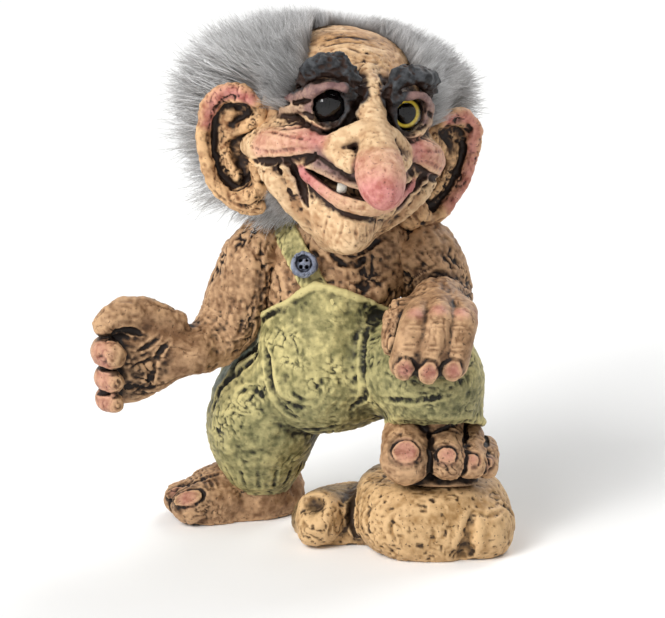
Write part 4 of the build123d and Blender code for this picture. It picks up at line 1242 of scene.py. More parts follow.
THIGH = between(
    LEFT_HIP,
    KNEE,
    (0, 0, 3.4),
    [(0, 0, 14.7), (0.15, 0, 21.8), (0.45, 0.5, 22.3), (0.75, 0.6, 21.8), (1, 0.2, 20.2), (1.1, 0, 12)],
)
CALF = between(
    KNEE, OPENING, (0, 0, 0), [(-0.2, 0, 17), (0.2, 0, 20.3), (0.6, 0, 20.6), (1, 0, 20), (1.8, 0, 20)]
)
CALF_AXIS = unit(KNEE - OPENING)
OPENING_AXIS = np.array((0, sin(radians(21)), cos(radians(21))))


def bib_edge():
    """The bib's edge: where the garment's wall meets the cuts over it."""
    path = []
    for turn in np.linspace(0, 2 * pi, 41):
        level = 50.0
        for _ in range(12):
            stations, *columns = GARMENT_ROWS.T
            wide, deep, across, back = (np.interp(level, stations, column) for column in columns)
            x, y = -3.5 + across + wide * cos(turn), 1 + back + deep * sin(turn)
            tops = [p[2] - ((x - p[0]) * n[0] + (y - p[1]) * n[1]) / n[2] for p, n in BIB_CUTS]
            level = 0.5 * level + 0.5 * (min(tops) - 45)
        path.append((x, y, level + 45, 1.5))
    return path


def model_dungarees(cell):
    """Bib, belly, seat and both trouser legs as clay, with open cuffs."""
    clay = Clay((-62, -62, 12), (70, 36, 126), cell)
    clay.add(loft((-3.5, 1, 45), UP, (1, 0, 0), GARMENT_ROWS, 3))
    for point, normal in BIB_CUTS:
        clay.slice_off(point, normal, 1.5)
    clay.add(tube(bib_edge(), 1), 1.2)
    clay.add(tube(RIGHT_LEG), 3)
    clay.add(tube(THIGH), 5)
    clay.add(trimmed(tube(CALF), OPENING, -OPENING_AXIS), 6)
    lean = cos(radians(21)), -sin(radians(21))
    turns = np.linspace(0, 2 * pi, 25)
    hem = [OPENING + 20.2 * np.array((cos(a), sin(a) * lean[0], sin(a) * lean[1])) for a in turns]
    clay.add(tube([(*place, 1.7) for place in hem], 1), 1.5)
    leg_axis = np.array((0.13, -0.2, 0.97))
    clay.cut(tube([(*(RIGHT_ANKLE - leg_axis * 12), 12.4), (*(RIGHT_ANKLE + leg_axis * 4), 12.4)]), 1)
    clay.cut(tube([(*(OPENING - CALF_AXIS * 16), 17.4), (*(OPENING - CALF_AXIS * 3), 17.4)]), 1)
    for width, depth, path in DUNGAREE_FOLDS:
        clay.score(path, width, depth)
    for turn in np.linspace(-2.9, 0.3, 11):
        out = np.array((cos(turn), sin(turn), 0))
        steps = ((15, 0), (18, 5), (21, 11))
        clay.score([RIGHT_ANKLE + out * reach + UP * rise for reach, rise in steps], 0.9, 1.1)
    for turn in np.linspace(-2.8, -0.4, 9):
        out = np.array((cos(turn), sin(turn), 0))
        clay.score([OPENING + out * 22 + UP * rise for rise in (-3, 3, 9)], 0.8, 0.9)
    return clay


# Folds hold a width, a depth and a path
DUNGAREE_FOLDS = [
    (1.7, 2.0, [(-29, -14, 87), (-27.5, -18.7, 79), (-26, -22, 71), (-20, -24, 60), (-14, -24.5, 55)]),
    (1.3, 1.8, [(-30.6, -11, 86), (-37.8, -1.3, 75), (-44.2, -4, 67), (-50, -1.6, 58)]),
    (1.3, 1.6, [(-32, -10.7, 81), (-40, -5.6, 71), (-47.8, -3, 61), (-52, -2, 50)]),
    (
        1.0, 1.0,
        [(-27.6, -17, 61), (-30.2, -15.4, 64.4), (-35.4, -13, 65.5), (-39.7, -11.3, 62.3), (-40, -14, 55)],
    ),
    (1.1, 1.0, [(-24.4, -23.3, 71), (-21, -25, 65.5), (-15, -27, 62), (-8.7, -29, 63)]),
    (0.9, 0.8, [(-18, -27, 70), (-13, -29, 66), (-6, -30, 66)]),
    (1.2, 1.0, [(-21.4, -19, 104), (-27.5, -12, 98), (-31, -8, 93)]),
    (1.5, 1.8, [(16, -20, 92), (20, -26, 82), (17, -30, 72), (8, -28, 60)]),
    (1.1, 1.2, [(22, -32, 90), (28, -44, 88), (36, -54, 86)]),
    (1.1, 1.2, [(20, -38, 70), (28, -48, 72), (38, -54, 74), (50, -54, 76)]),
    (1.2, 1.2, [(4, -24, 54), (-6, -22, 50), (-16, -18, 48)]),
]


def model_strap(cell):
    """The strap: a slice of a shell over the torso, from bib to back."""
    clay = Clay((-40, -34, 84), (24, 36, 150), cell)
    clay.add(torso_form(2.4))
    normal = np.array((cos(radians(30.5)), 0, sin(radians(30.5))))
    middle = np.array((-12.0, 0, 119))
    for side in (-1, 1):
        clay.slice_off(middle + normal * side * 5.5, normal * side, 1.2)
    clay.slice_off((0, 0, 87), -UP, 0.5)
    clay.cut(torso_form(-0.6), 0.3)
    return clay


def model_button(cell):
    """The button with its raised rim, its shank and four holes."""
    centre = np.array((-12, 4 - 22 * 1.06, 45 + 74 * 1.04))
    face = np.array((0, -sin(radians(62)), cos(radians(62))))
    across = np.array((1, 0, 0))
    lift = np.cross(face, across)
    clay = Clay(centre - 9, centre + 9, cell)
    rows = [(0, 5.2, 5.2, 0, 0), (1.4, 5.6, 5.6, 0, 0), (2.6, 5.2, 5.2, 0, 0)]
    clay.add(loft(centre - face * 1.6, face, across, rows, 0.8))
    turns = np.linspace(0, 2 * pi, 17)
    ring = [centre + face + 4.5 * (across * cos(a) + lift * sin(a)) for a in turns]
    clay.add(tube([(*place, 1.15) for place in ring], 2), 0.5)
    clay.add(tube([(*(centre - face * 8), 3), (*centre, 3)]), 0.5)
    for a in (-1.3, 1.3):
        for b in (-1.3, 1.3):
            hole = centre + across * a + lift * b
            clay.cut(tube([(*(hole - face * 1.2), 0.75), (*(hole + face * 3), 0.75)]), 0.3)
    return clay


BOULDER = [
    (-0.1, 0.8, 0.84, 0, 0), (0, 0.84, 0.87, 0, 0), (0.16, 0.95, 0.96, 0, 0), (0.42, 1.0, 1.0, 0, 0),
    (0.7, 0.95, 0.97, -0.04, 0), (0.9, 0.84, 0.88, -0.08, -0.01), (1, 0.7, 0.76, -0.1, -0.01),
]
KNOB = [(4, -10, 8.5, 10.5), (-1, -18, 10, 11.4), (-5, -24, 11, 11.6), (-7.5, -28.5, 11.5, 11)]
KNOB_FACE, KNOB_LEAN = np.array((-8.6, -30.5, 18.5)), np.array((-0.38, -0.6, 0.7))
STONE_CRACKS = [
    (1.8, 3.2, [(8, -20, 25), (8.5, -28, 16), (9.5, -32, 5)]),
    (2.6, 2.2, [(55, -54, 3), (56.5, -51, 11), (58, -47, 21)]),
    (1.4, 1.8, [(71, -38, 22), (74.5, -32, 14.5), (76, -30, 7)]),
    (1.3, 1.0, [(18, -46, 27), (15, -43, 19), (19, -48, 9)]),
    (1.2, 0.9, [(25, -55, 25), (23, -56, 18), (26, -58, 8)]),
    (1.0, 0.7, [(40, -56, 22), (43, -57, 15), (41, -58, 8)]),
    (1.1, 0.8, [(60, -50, 24), (66, -46, 19), (72, -38, 19)]),
    (0.9, 0.6, [(-12, -32, 9), (-9, -36, 5), (-8, -37, 1)]),
    (0.9, 0.6, [(1, -36, 15), (-1, -37, 10), (0, -37, 5)]),
]


def model_rock(cell):
    """The boulder with its swells, its broken knob and its cracks."""
    clay = Clay((-22, -64, -3), (82, 24, 34), cell)
    rows = [(z * 31, w * 33.5, d * 33, a * 34, -f * 33) for z, w, d, a, f in BOULDER]
    clay.add(loft((43.5, -21, 0), UP, (1, 0, 0), rows, 5))
    clay.add(ball((8, -8, 5), (26, 22, 15.5)), 5)
    clay.add(ball((33, -33, 13), (22.5, 22, 17)), 4)
    clay.add(ball((63, -33, 10), (14.5, 18, 15)), 4)
    knob = trimmed(tube(KNOB), KNOB_FACE, KNOB_LEAN, 1.2)
    knob = trimmed(knob, (-6, -38.5, 8), (-0.1, -1, -0.15), 2)
    clay.add(trimmed(knob, (-15.6, -24, 10), (-1, -0.2, 0.1), 3), 2)
    clay.cut(ball(KNOB_FACE + KNOB_LEAN * 2.5, (6.5, 6.5, 4.2)), 2.5)
    clay.cut(ball((54.5, -55, 4), (4.5, 8, 6)), 2.5)
    for width, depth, path in STONE_CRACKS:
        clay.score(path, width, depth)
    clay.slice_off((0, 0, 31.4), UP, 2)
    clay.slice_off((0, 0, 0), -UP, 0.8)
    return clay


# Ears, eyes and fur


def ear_place(side, out, back, up):
    """A place on one ear in the head's millimetres, from the ear's own middle."""
    tip = np.array((side * sin(radians(10)), 0, cos(radians(10))))
    outward = np.array((side * cos(radians(22)), sin(radians(22)), 0))
    outward = square_to(outward, tip)
    behind = np.cross(tip, outward) * side
    middle = np.array((side * 45.1, -5, -8.9))
    return middle + outward * out + behind * back + tip * up


# Rows of out, back and up from the ear's middle, and a radius
EAR_RIM = [
    (-9, -2, 20, 2.4), (-4, -2.5, 25, 2.7), (4, -2.5, 25, 2.9), (10.5, -3, 19.5, 3.1),
    (13, -3, 10, 3.1), (13, -3, -2, 3.0), (10.3, -3, -12, 3.0), (5, -2.5, -19.5, 3.1),
    (-2, -2, -24, 3.2), (-9, -1, -25, 3.0),
]


def model_ear(side, cell):
    """One cupped ear: bowl, rolled rim, inner ridges, flap and lobe."""
    on_ear = partial(ear_place, side)
    middle = on_ear(0, 0, 0)
    clay = Clay(middle - (24, 22, 34), middle + (24, 22, 34), cell)
    tip, outward = on_ear(0, 0, 1) - middle, on_ear(1, 0, 0) - middle
    rows = [
        (-25, 4, 3, -5, 0), (-20, 8, 4.6, -3.4, 0), (-12, 12, 5.6, -1, 0), (0, 14, 6, 0, 0),
        (12, 13.6, 6, -0.6, 0), (20, 9.4, 4.8, -0.6, 0), (25, 4, 3, 0.8, 0),
    ]
    clay.add(loft(middle, tip, outward, rows, 2))
    bowl = [(z, w * 0.8, d * 1.2, a, 0) for z, w, d, a, _ in rows[1:-1]]
    clay.cut(loft(on_ear(0, -5, 0), tip, outward, bowl, 2), 1.5)
    clay.add(tube(placed(on_ear, EAR_RIM), 4), 1.2)
    for path, blend in (
        ([(2, 2, 15, 2.0), (5, 1.4, 8, 2.6), (5.5, 1.2, 0, 2.6), (3.5, 1.4, -7, 2.6), (0, 1, -12, 2.6)], 3),
        ([(-9, -2, 12, 2.6), (-3, 0, 9, 2.6), (2, 1, 6.5, 2)], 3),
        ([(-11, -4, 2, 3), (-9.5, -5, -4, 3.6), (-9, -4, -10, 3)], 2.5),
        ([(-9, -2, -16, 4), (-5, -2.5, -20, 4.6), (-1, -2, -21, 3.4)], 2.5),
    ):
        clay.add(tube(placed(on_ear, path)), blend)
    clay.cut(ball(on_ear(-2, -1.5, -3), (4, 3.6, 6)), 2)
    for width, depth, path in (
        (1.1, 1.0, [(3, 0, 20), (9, 0, 14), (10.2, 0, 4), (9.4, 0, -6), (5.5, 0, -14)]),
        (0.9, 0.9, [(-6, -3, -14), (-2, -3, -17), (3, -3, -16)]),
        (0.8, 0.8, [(-10, -4, -20), (-4, -5, -23), (1, -5, -22)]),
        (0.7, 0.6, [(14, -6, 14), (16, -3, 6), (16, -3, -3)]),
        (0.7, 0.6, [(12, -6, -14), (8, -6, -19), (2, -6, -24)]),
    ):
        clay.score(placed(on_ear, path), width, depth)
    return clay


# Paint, radius, softness, strength and path
EAR_PAINTS = [
    ("blush", 3, 2.5, 0.8, [(-7, -4, 22), (2, -4, 25), (9, -4, 20), (11, -4, 12)]),
    # The near-black rows are dark wash and painted shade in the groove inside the rim, the cup and the
    # crevice by the lobe
    ("stain_and_shade", 1.8, 1.5, 1, [(4, 1, 18), (9.5, 1, 10), (9.8, 1, 0), (7, 1, -10)]),
    ("stain_and_shade", 3.6, 2.5, 1, [(-2, 1, 6), (-2, 1, -6)]),
    ("stain_and_shade", 2, 2.5, 0.7, [(-8, -3, -14), (-11, -4, -22)]),
]
LEFT_EAR_PAINTS = [
    ("blush", 3.4, 2.5, 0.8, [(13, -4, 8), (13, -4, -4), (9, -4, -14)]),
    # The left ear lies away from the key lamp: a wider painted shade in its cup
    ("stain_and_shade", 6, 3.5, 0.8, [(0, 0, 10), (1, 0, 0), (-2, 0, -9)]),
]


def paint_ear(skin, side):
    """The reddened rim, and dark wash with painted shade in the groove, the cup and by the lobe, wider on the
    left ear, which lies away from the key lamp.
    """
    for name, radius, soft, strength, path in EAR_PAINTS + (LEFT_EAR_PAINTS if side > 0 else []):
        skin.spray(name, placed(partial(ear_place, side), path), radius, soft, strength)


def turned(profile, axes, centre):
    """A closed shell turned about an axis, from rows of reach along it and radius."""
    points, quads = [], []
    for reach, radius in profile:
        for cut in range(EYE_CUTS):
            turn = 2 * pi * cut / EYE_CUTS
            points.append(axes[2] * reach + radius * (axes[0] * cos(turn) + axes[1] * sin(turn)) + centre)
    for row in range(len(profile) - 1):
        for cut in range(EYE_CUTS):
            ahead = (cut + 1) % EYE_CUTS
            low, high = row * EYE_CUTS, (row + 1) * EYE_CUTS
            quads.append((low + cut, low + ahead, high + ahead, high + cut))
    return np.array(points), np.array(quads)


def model_eye(side, pupil):
    """The glass dome and the painted disc behind it, as two shells in the head's millimetres."""
    axes, centre = eye_axes(side)
    floor_at = DOME_RADIUS - EYE_DOME - EYE_SEAT
    rim = np.arcsin(EYE_RADIUS / DOME_RADIUS)
    dome = [(DOME_RADIUS * cos(a), DOME_RADIUS * sin(a)) for a in np.linspace(0, rim, 14)]
    wall = [(DOME_RADIUS - EYE_DOME, EYE_RADIUS), (floor_at - 0.4, EYE_RADIUS), (floor_at - 0.4, 0)]
    points, quads = turned((dome + wall)[::-1], axes, centre)
    glass = Shell(points, quads, {})
    radii = np.linspace(EYE_RADIUS - 0.1, 0, 24)
    profile = [(floor_at - 0.3, 0), (floor_at - 0.3, radii[0]), *((floor_at, radius) for radius in radii)]
    points, quads = turned(profile, axes, centre)
    reach = np.repeat([radius for _, radius in profile], EYE_CUTS)
    ring = np.clip((reach - pupil) / 0.3, 0, 1) * np.clip((pupil + 1.3 - reach) / 0.3, 0, 1)
    return glass, Shell(points, quads, {"amber": ring})


def weld(piece):
    """Joins the points that lie on one another at a turned shell's two ends."""
    work = bmesh.new()
    work.from_mesh(piece.data)
    bmesh.ops.remove_doubles(work, verts=work.verts, dist=0.001 * MM)
    work.to_mesh(piece.data)
    work.free()


FUR = [
    (-0.92, 0.3, 0.3, -0.4, -0.5), (-0.72, 0.58, 0.62, -0.26, -0.42), (-0.36, 0.86, 0.86, -0.1, -0.34),
    (0.04, 1.0, 1.0, -0.04, -0.28), (0.4, 0.97, 0.98, -0.03, -0.26), (0.7, 0.82, 0.84, -0.01, -0.26),
    (0.9, 0.58, 0.62, 0, -0.24), (1.0, 0.3, 0.34, 0, -0.24),
]
STRANDS_ON_A_PATCH = 9000
SCALP_CUTS, HIDE_LIFT, LONGEST_PILE = 132, 1.2, 34.0
# Sizes of the locks and of the wisps in them, and how far each turns the comb
LOCK_SIZE, LOCK_SWAY, WISP_SIZE, WISP_SWAY = 11.0, 0.26, 4.2, 0.34
STRAND_KINDS, STRAND_POINTS, STRAND_TIP, STRAY = 5, 4, 0.16, 0.14
# How far apart the kinds lie in the noise that curls them, and how fine it is
KIND_STEP, WAVE_FINENESS, FULL_TURN = 3.1, 2.2, 6.2832
HAIRLINE_LEAN = radians(26)
# Where the forehead stays bare, as x, y, z and a radius
PARTING = [(1.5, -38, 50, 17), (1.5, -20, 44, 16), (1, -4, 50, 12), (1, 10, 62, 9)]


def before_ear(places):
    """Which places lie in an ear's cup or in front of it, where no fur may reach."""
    found = np.zeros(len(places), bool)
    for side in (-1, 1):
        middle = ear_place(side, 0, 0, 0)
        out, back, up = (ear_place(side, *step) - middle for step in np.eye(3))
        away = places - middle
        found |= (away @ back < 8) & (np.abs(away @ up) < 29) & (away @ out > -12) & (away @ out < 24)
    return found


def model_scalp():
    """The strip of hide that bears fur, as quads in the head's millimetres, and each point's comb
    direction and pile length."""
    fur = loft((0, 0, 0), UP, (1, 0, 0), oval_rows(FUR, 50, 66, 45))
    parting = tube(PARTING)
    table = smooth_path(oval_rows(SKULL, SKULL_HEIGHT, SKULL_WIDTH, SKULL_DEPTH), 7)
    turns = 2 * pi * np.arange(SCALP_CUTS) / SCALP_CUTS
    points = np.array(
        [
            (x0 + (w + HIDE_LIFT) * cos(t), y0 + (d + HIDE_LIFT) * sin(t), z)
            for z, w, d, x0, y0 in table
            for t in turns
        ]
    )
    start = np.arange(len(table) - 1)[:, None] * SCALP_CUTS
    first = start + np.arange(SCALP_CUTS)[None]
    ahead = start + (np.arange(SCALP_CUTS)[None] + 1) % SCALP_CUTS
    quads = np.stack([first, ahead, ahead + SCALP_CUTS, first + SCALP_CUTS], -1).reshape(-1, 4)
    core = np.array((0, 6, -4.0))
    radial = (points - core) * (1, 0.55, 1.05)
    radial /= np.linalg.norm(radial, axis=1, keepdims=True)
    comb = radial + swirl(points, LOCK_SIZE, 21) * LOCK_SWAY + (0, 0.1, 0.04)
    comb += swirl(points, WISP_SIZE, 24) * WISP_SWAY
    comb[:, 2] -= 0.55 * np.clip(points[:, 1] / 30, 0, 1)
    comb /= np.linalg.norm(comb, axis=1, keepdims=True)
    pile = np.full(len(points), LONGEST_PILE)
    for reach in np.arange(LONGEST_PILE, 3.0, -0.5):
        place = points + comb * reach
        stopped = (fur.distance(*place.T) > 0) | before_ear(place)
        pile[stopped] = reach
    middles = points[quads].mean(1)
    x, y, z = middles.T
    behind = y * cos(HAIRLINE_LEAN) - z * sin(HAIRLINE_LEAN) * 0.8
    temple = np.clip((np.abs(x) - 15) / 8, 0, 1) * np.clip((z - 4) / 9, 0, 1)
    edge = -2.5 - 24.0 * temple + 2.0 * noise(middles, 9.0, 5)
    keep = (behind > edge) & (parting.distance(x, y, z) > 0) & (z > -32) & (pile[quads].min(1) > 5)
    quads = quads[keep]
    used = np.unique(quads)
    renumber = np.zeros(len(points), int)
    renumber[used] = np.arange(len(used))
    pile *= 0.92 + 0.22 * np.abs(comb[:, 0]) + 0.2 * np.maximum(comb[:, 1], 0) + 0.08 * noise(
        points, WISP_SIZE, 27
    )
    return points[used], renumber[quads], comb[used], pile[used]


def fur_growth():
    """Geometry Nodes that grow fur on a scalp: thin, tapered, curled strands of a few kinds, each
    turned the way it is combed and cut to the pile's length."""
    tree = bpy.data.node_groups.new("fur_growth", "GeometryNodeTree")
    for name, kind, default in (
        ("Scalp", "NodeSocketGeometry", None),
        ("Density", "NodeSocketFloat", 6e6),
        ("Thickness", "NodeSocketFloat", 0.0095),
        ("Curl", "NodeSocketFloat", 0.3),
        ("Shortest", "NodeSocketFloat", 0.76),
        ("Seed", "NodeSocketInt", 1),
        ("Finish", "NodeSocketMaterial", None),
    ):
        socket = tree.interface.new_socket(name, in_out="INPUT", socket_type=kind)
        if default is not None:
            socket.default_value = default
    tree.interface.new_socket("Fur", in_out="OUTPUT", socket_type="NodeSocketGeometry")
    add = partial(node, tree)
    asked = add("NodeGroupInput").outputs
    profile = add("GeometryNodeCurvePrimitiveCircle", {"Resolution": 3, "Radius": 1.0})
    kinds = add("GeometryNodeJoinGeometry")
    for kind in range(STRAND_KINDS):
        line = add("GeometryNodeCurvePrimitiveLine", {"End": (0, 0, 1)})
        line = add("GeometryNodeResampleCurve", {"Curve": line, "Count": STRAND_POINTS})
        reach = add("GeometryNodeSplineParameter").outputs["Factor"]
        place = add(
            "ShaderNodeVectorMath", {0: add("GeometryNodeInputPosition"), 1: (kind * KIND_STEP, 0, 0)}
        )
        wave = add(
            "ShaderNodeTexNoise", {"Vector": place, "Scale": WAVE_FINENESS, "Detail": 1.0}
        ).outputs["Color"]
        centred = add("ShaderNodeVectorMath", {0: wave, 1: (0.5, 0.5, 0.5)}, operation="SUBTRACT")
        sway = add("ShaderNodeMath", {0: reach, 1: asked["Curl"]}, operation="MULTIPLY")
        moved = add("ShaderNodeVectorMath", {0: centred, "Scale": sway.outputs[0]}, operation="SCALE")
        line = add("GeometryNodeSetPosition", {"Geometry": line, "Offset": moved})
        line = add("GeometryNodeStoreNamedAttribute", {"Geometry": line, "Name": "reach", "Value": reach})
        taper = add("ShaderNodeMapRange", {"Value": reach, "To Min": 1.0, "To Max": STRAND_TIP})
        width = add("ShaderNodeMath", {0: taper, 1: asked["Thickness"]}, operation="MULTIPLY")
        links = {"Curve": line, "Profile Curve": profile, "Scale": width, "Fill Caps": True}
        strand = add("GeometryNodeCurveToMesh", links)
        strand = add("GeometryNodeGeometryToInstance", {"Geometry": strand})
        plug(kinds, {0: strand})
    links = {"Mesh": asked["Scalp"], "Density": asked["Density"], "Seed": asked["Seed"]}
    roots = add("GeometryNodeDistributePointsOnFaces", links)
    shade = add("FunctionNodeRandomValue", {2: 0.0, 3: 1.0, "Seed": asked["Seed"]}, data_type="FLOAT")
    roots = add("GeometryNodeStoreNamedAttribute", {"Geometry": roots, "Name": "shade", "Value": shade})
    comb = add("GeometryNodeInputNamedAttribute", {"Name": "comb"}, data_type="FLOAT_VECTOR")
    links = {0: (-STRAY,) * 3, 1: (STRAY,) * 3, "Seed": 7}
    stray = add("FunctionNodeRandomValue", links, data_type="FLOAT_VECTOR")
    lean = add("ShaderNodeVectorMath", {0: comb, 1: stray})
    turn = add("FunctionNodeAlignRotationToVector", {"Vector": lean}, axis="Z")
    roll = add("FunctionNodeRandomValue", {2: 0.0, 3: FULL_TURN, "Seed": 5}, data_type="FLOAT")
    spin = add("FunctionNodeAxisAngleToRotation", {"Axis": (0, 0, 1), "Angle": roll})
    turn = add("FunctionNodeRotateRotation", {"Rotation": turn, "Rotate By": spin}, rotation_space="LOCAL")
    pile = add("GeometryNodeInputNamedAttribute", {"Name": "pile"}, data_type="FLOAT")
    part = add("FunctionNodeRandomValue", {2: asked["Shortest"], 3: 1.0, "Seed": 3}, data_type="FLOAT")
    length = add("ShaderNodeMath", {0: pile, 1: part}, operation="MULTIPLY")
    which = add("FunctionNodeRandomValue", {4: 0, 5: STRAND_KINDS - 1, "Seed": 11}, data_type="INT")
    links = {"Points": roots, "Instance": kinds, "Pick Instance": True, "Instance Index": which}
    fur = add("GeometryNodeInstanceOnPoints", links | {"Rotation": turn, "Scale": length})
    fur = add("GeometryNodeRealizeInstances", {"Geometry": fur})
    fur = add("GeometryNodeSetMaterial", {"Geometry": fur, "Material": asked["Finish"]})
    add("NodeGroupOutput", {"Fur": fur})
    return tree


def grow_fur(tree, name, scalp, values):
    """Grows one patch of fur and turns it into a plain mesh on the figure."""
    growth = scalp.modifiers.new("growth", "NODES")
    growth.node_group = tree
    for socket in tree.interface.items_tree:
        if socket.in_out == "INPUT" and socket.name in values:
            growth[socket.identifier] = values[socket.name]
    graph = bpy.context.evaluated_depsgraph_get()
    mesh = bpy.data.meshes.new_from_object(scalp.evaluated_get(graph), depsgraph=graph)
    bpy.data.objects.remove(scalp)
    mesh.name = name
    piece = bpy.data.objects.new(name, mesh)
    bpy.context.scene.collection.objects.link(piece)
    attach(piece, "root")
    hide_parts("wig_fur")
    return piece


# Operators


def colour_setting(title, use, code):
    """A colour that the panel shows."""
    return FloatVectorProperty(
        name=title, description=use, subtype="COLOR", size=4, min=0.0, max=1.0, default=tuple(colour(code))
    )


class TrollSettings(bpy.types.PropertyGroup):
    """The sizes and colours that a user may change"""

    clay_cell: FloatProperty(
        name="Clay fineness", description="Grid step of the smallest forms", default=0.72 * MM, unit="LENGTH"
    )
    wrinkle_depth: FloatProperty(
        name="Wrinkle depth", description="Depth of the bark-like creases", default=0.5 * MM, unit="LENGTH"
    )
    fur_density: FloatProperty(
        name="Fur density", description="Strands on a square millimetre of hide", default=6.2
    )
    fur_curl: FloatProperty(
        name="Fur curl", description="How far a strand sways, as a share of it", default=0.55
    )
    face_high: colour_setting("Face, rubbed", "Colour of the face's high places", "#dfbe95")
    face_low: colour_setting("Face, base", "Colour of the face between them", "#ad845e")
    limb_high: colour_setting("Limbs, rubbed", "Colour of the limbs' high places", "#c39d77")
    limb_low: colour_setting("Limbs, base", "Colour of the limbs between them", "#77563b")
    cloth_high: colour_setting("Cloth, rubbed", "Colour of the dungarees' high places", "#c8bb82")
    cloth_low: colour_setting("Cloth, base", "Colour of the dungarees between them", "#77724a")
    stone_high: colour_setting("Stone, rubbed", "Colour of the stone's high places", "#d2ae80")
    stone_low: colour_setting("Stone, base", "Colour of the stone between them", "#9c784c")
    fur_root: colour_setting("Fur, roots", "Colour of the fur at the hide", "#8f8b89")
    fur_dark: colour_setting("Fur, dark strands", "Colour of the darkest strands", "#a3a09e")
    fur_light: colour_setting("Fur, light strands", "Colour of the lightest strands", "#ffffff")


def given():
    """The clay's fineness and the wrinkles' depth in millimetres."""
    settings = bpy.context.scene.troll_settings
    return settings.clay_cell / MM, settings.wrinkle_depth / MM


class TROLL_OT_head(bpy.types.Operator):
    """The head with its face, in moulded rubber"""

    bl_idname = "troll.head"
    bl_label = "Head"

    def execute(self, context):
        cell, depth = given()
        skin = Skin(model_head(cell))
        paint_head(skin)
        calm = 1 - 0.8 * np.maximum(skin.paint["blush"], 0)
        rough = 1 + 1.4 * skin.paint["soot_and_shade"]
        skin.wrinkle(3.4, depth * 0.7, skin.points * (0.8, 0.8, 1.2), 3, calm * rough, 0.2)
        skin.weather_and_shading()
        finish_piece("head_skin", skin, head_rubber(), "head", "skin_rubber", HEAD_AXES, HEAD_AT)
        return {"FINISHED"}


class TROLL_OT_ears(bpy.types.Operator):
    """Both ears, cupped and open to the front"""

    bl_idname = "troll.ears"
    bl_label = "Ears"

    def execute(self, context):
        cell, depth = given()
        rubber = ear_rubber()
        for side, name in ((-1, "right"), (1, "left")):
            skin = Skin(model_ear(side, cell * 0.85))
            paint_ear(skin, side)
            skin.wrinkle(2.6, depth * 0.9, seed=30 + side)
            skin.weather_and_shading()
            finish_piece(name + "_ear_skin", skin, rubber, name + "_ear", "skin_rubber", HEAD_AXES, HEAD_AT)
        return {"FINISHED"}


class TROLL_OT_eyes(bpy.types.Operator):
    """The glass eyes with their painted irises"""

    bl_idname = "troll.eyes"
    bl_label = "Eyes"

    def execute(self, context):
        glass_finish, iris_finish = blown_glass(), iris_enamel()
        for side, name, pupil in ((-1, "right", 5.8), (1, "left", 3.3)):
            glass, iris = model_eye(side, pupil)
            for shell, piece, finish, part, slot in (
                (glass, "eye_dome", glass_finish, "eye_glass", "eye_glass"),
                (iris, "iris_disc", iris_finish, "iris", "iris_paint"),
            ):
                made = f"{name}_{piece}"
                weld(finish_piece(made, shell, finish, f"{name}_{part}", slot, HEAD_AXES, HEAD_AT))
        return {"FINISHED"}


class TROLL_OT_tooth(bpy.types.Operator):
    """The one worn tooth"""

    bl_idname = "troll.tooth"
    bl_label = "Tooth"

    def execute(self, context):
        centre = head_place(-0.22, 1.24, -0.29)
        clay = Clay(centre - 6, centre + 6, 0.22)
        rows = [(0, 2.1, 1.3, 0, 0), (2.4, 2.4, 1.6, 0, 0), (6.4, 1.9, 1.6, 0, 0)]
        clay.add(loft(centre - UP * 3.2, UP, (1, 0.35, 0), rows, 1.2))
        finish_piece("worn_tooth", Skin(clay), ivory_enamel(), "tooth", "tooth_enamel", HEAD_AXES, HEAD_AT)
        return {"FINISHED"}


class TROLL_OT_arms(bpy.types.Operator):
    """Both arms with their hands"""

    bl_idname = "troll.arms"
    bl_label = "Arms and hands"

    def execute(self, context):
        cell, depth = given()
        rubber = limb_rubber()
        for name, model, paint, path in (
            ("right", model_right_arm, paint_right_arm, [*RIGHT_ARM, (*on_palm(32, 0, 0), 1)]),
            ("left", model_left_arm, paint_left_arm, [*LEFT_ARM, (44.5, -50, 106, 1), (40, -60, 90, 1)]),
        ):
            skin = Skin(model(cell * 0.9))
            paint(skin)
            places = along_path(skin.points, path, 0.5)
            rough = (0.9 - 0.65 * skin.paint.pop("calm")) + 0.8 * skin.paint["stain_and_shade"]
            skin.wrinkle(3.0, depth * 1.4, places, 40, rough, 0.2, 0.3)
            skin.weather_and_shading()
            finish_piece(name + "_arm_skin", skin, rubber, name + "_arm", "skin_rubber")
        return {"FINISHED"}


class TROLL_OT_feet(bpy.types.Operator):
    """Both bare feet with their toes"""

    bl_idname = "troll.feet"
    bl_label = "Feet"

    def execute(self, context):
        cell, depth = given()
        rubber = limb_rubber()
        for name, foot, low, high in (
            ("right", RIGHT_FOOT, (-92, -26, -2), (0, 42, 36)),
            ("left", LEFT_FOOT, (16, -66, 29), (74, 12, 72)),
        ):
            skin = Skin(foot.model(low, high, cell * 0.9))
            foot.paint(skin)
            calm = 0.9 - 0.5 * skin.paint["blush"]
            skin.wrinkle(3.0, depth * 0.7, None, 60, calm, 0.18, 0.3)
            skin.stand(foot.heel[2])
            skin.weather_and_shading()
            finish_piece(name + "_foot_skin", skin, rubber, name + "_foot", "skin_rubber")
        return {"FINISHED"}


class TROLL_OT_torso(bpy.types.Operator):
    """The chest, back and neck"""

    bl_idname = "troll.torso"
    bl_label = "Torso"

    def execute(self, context):
        cell, depth = given()
        skin = Skin(model_torso(cell * 1.15))
        # Painted shade on the chest under the chin
        skin.spray("stain_and_shade", [(-10, -20, 136), (4, -20, 134), (18, -18, 132), (26, -12, 124)], 6, 6, 0.7)
        skin.wrinkle(3.4, depth * 1.5, skin.points * (1, 1, 0.7), 70, 1.0, 0.24)
        skin.weather_and_shading()
        finish_piece("torso_skin", skin, limb_rubber(), "torso", "skin_rubber")
        return {"FINISHED"}


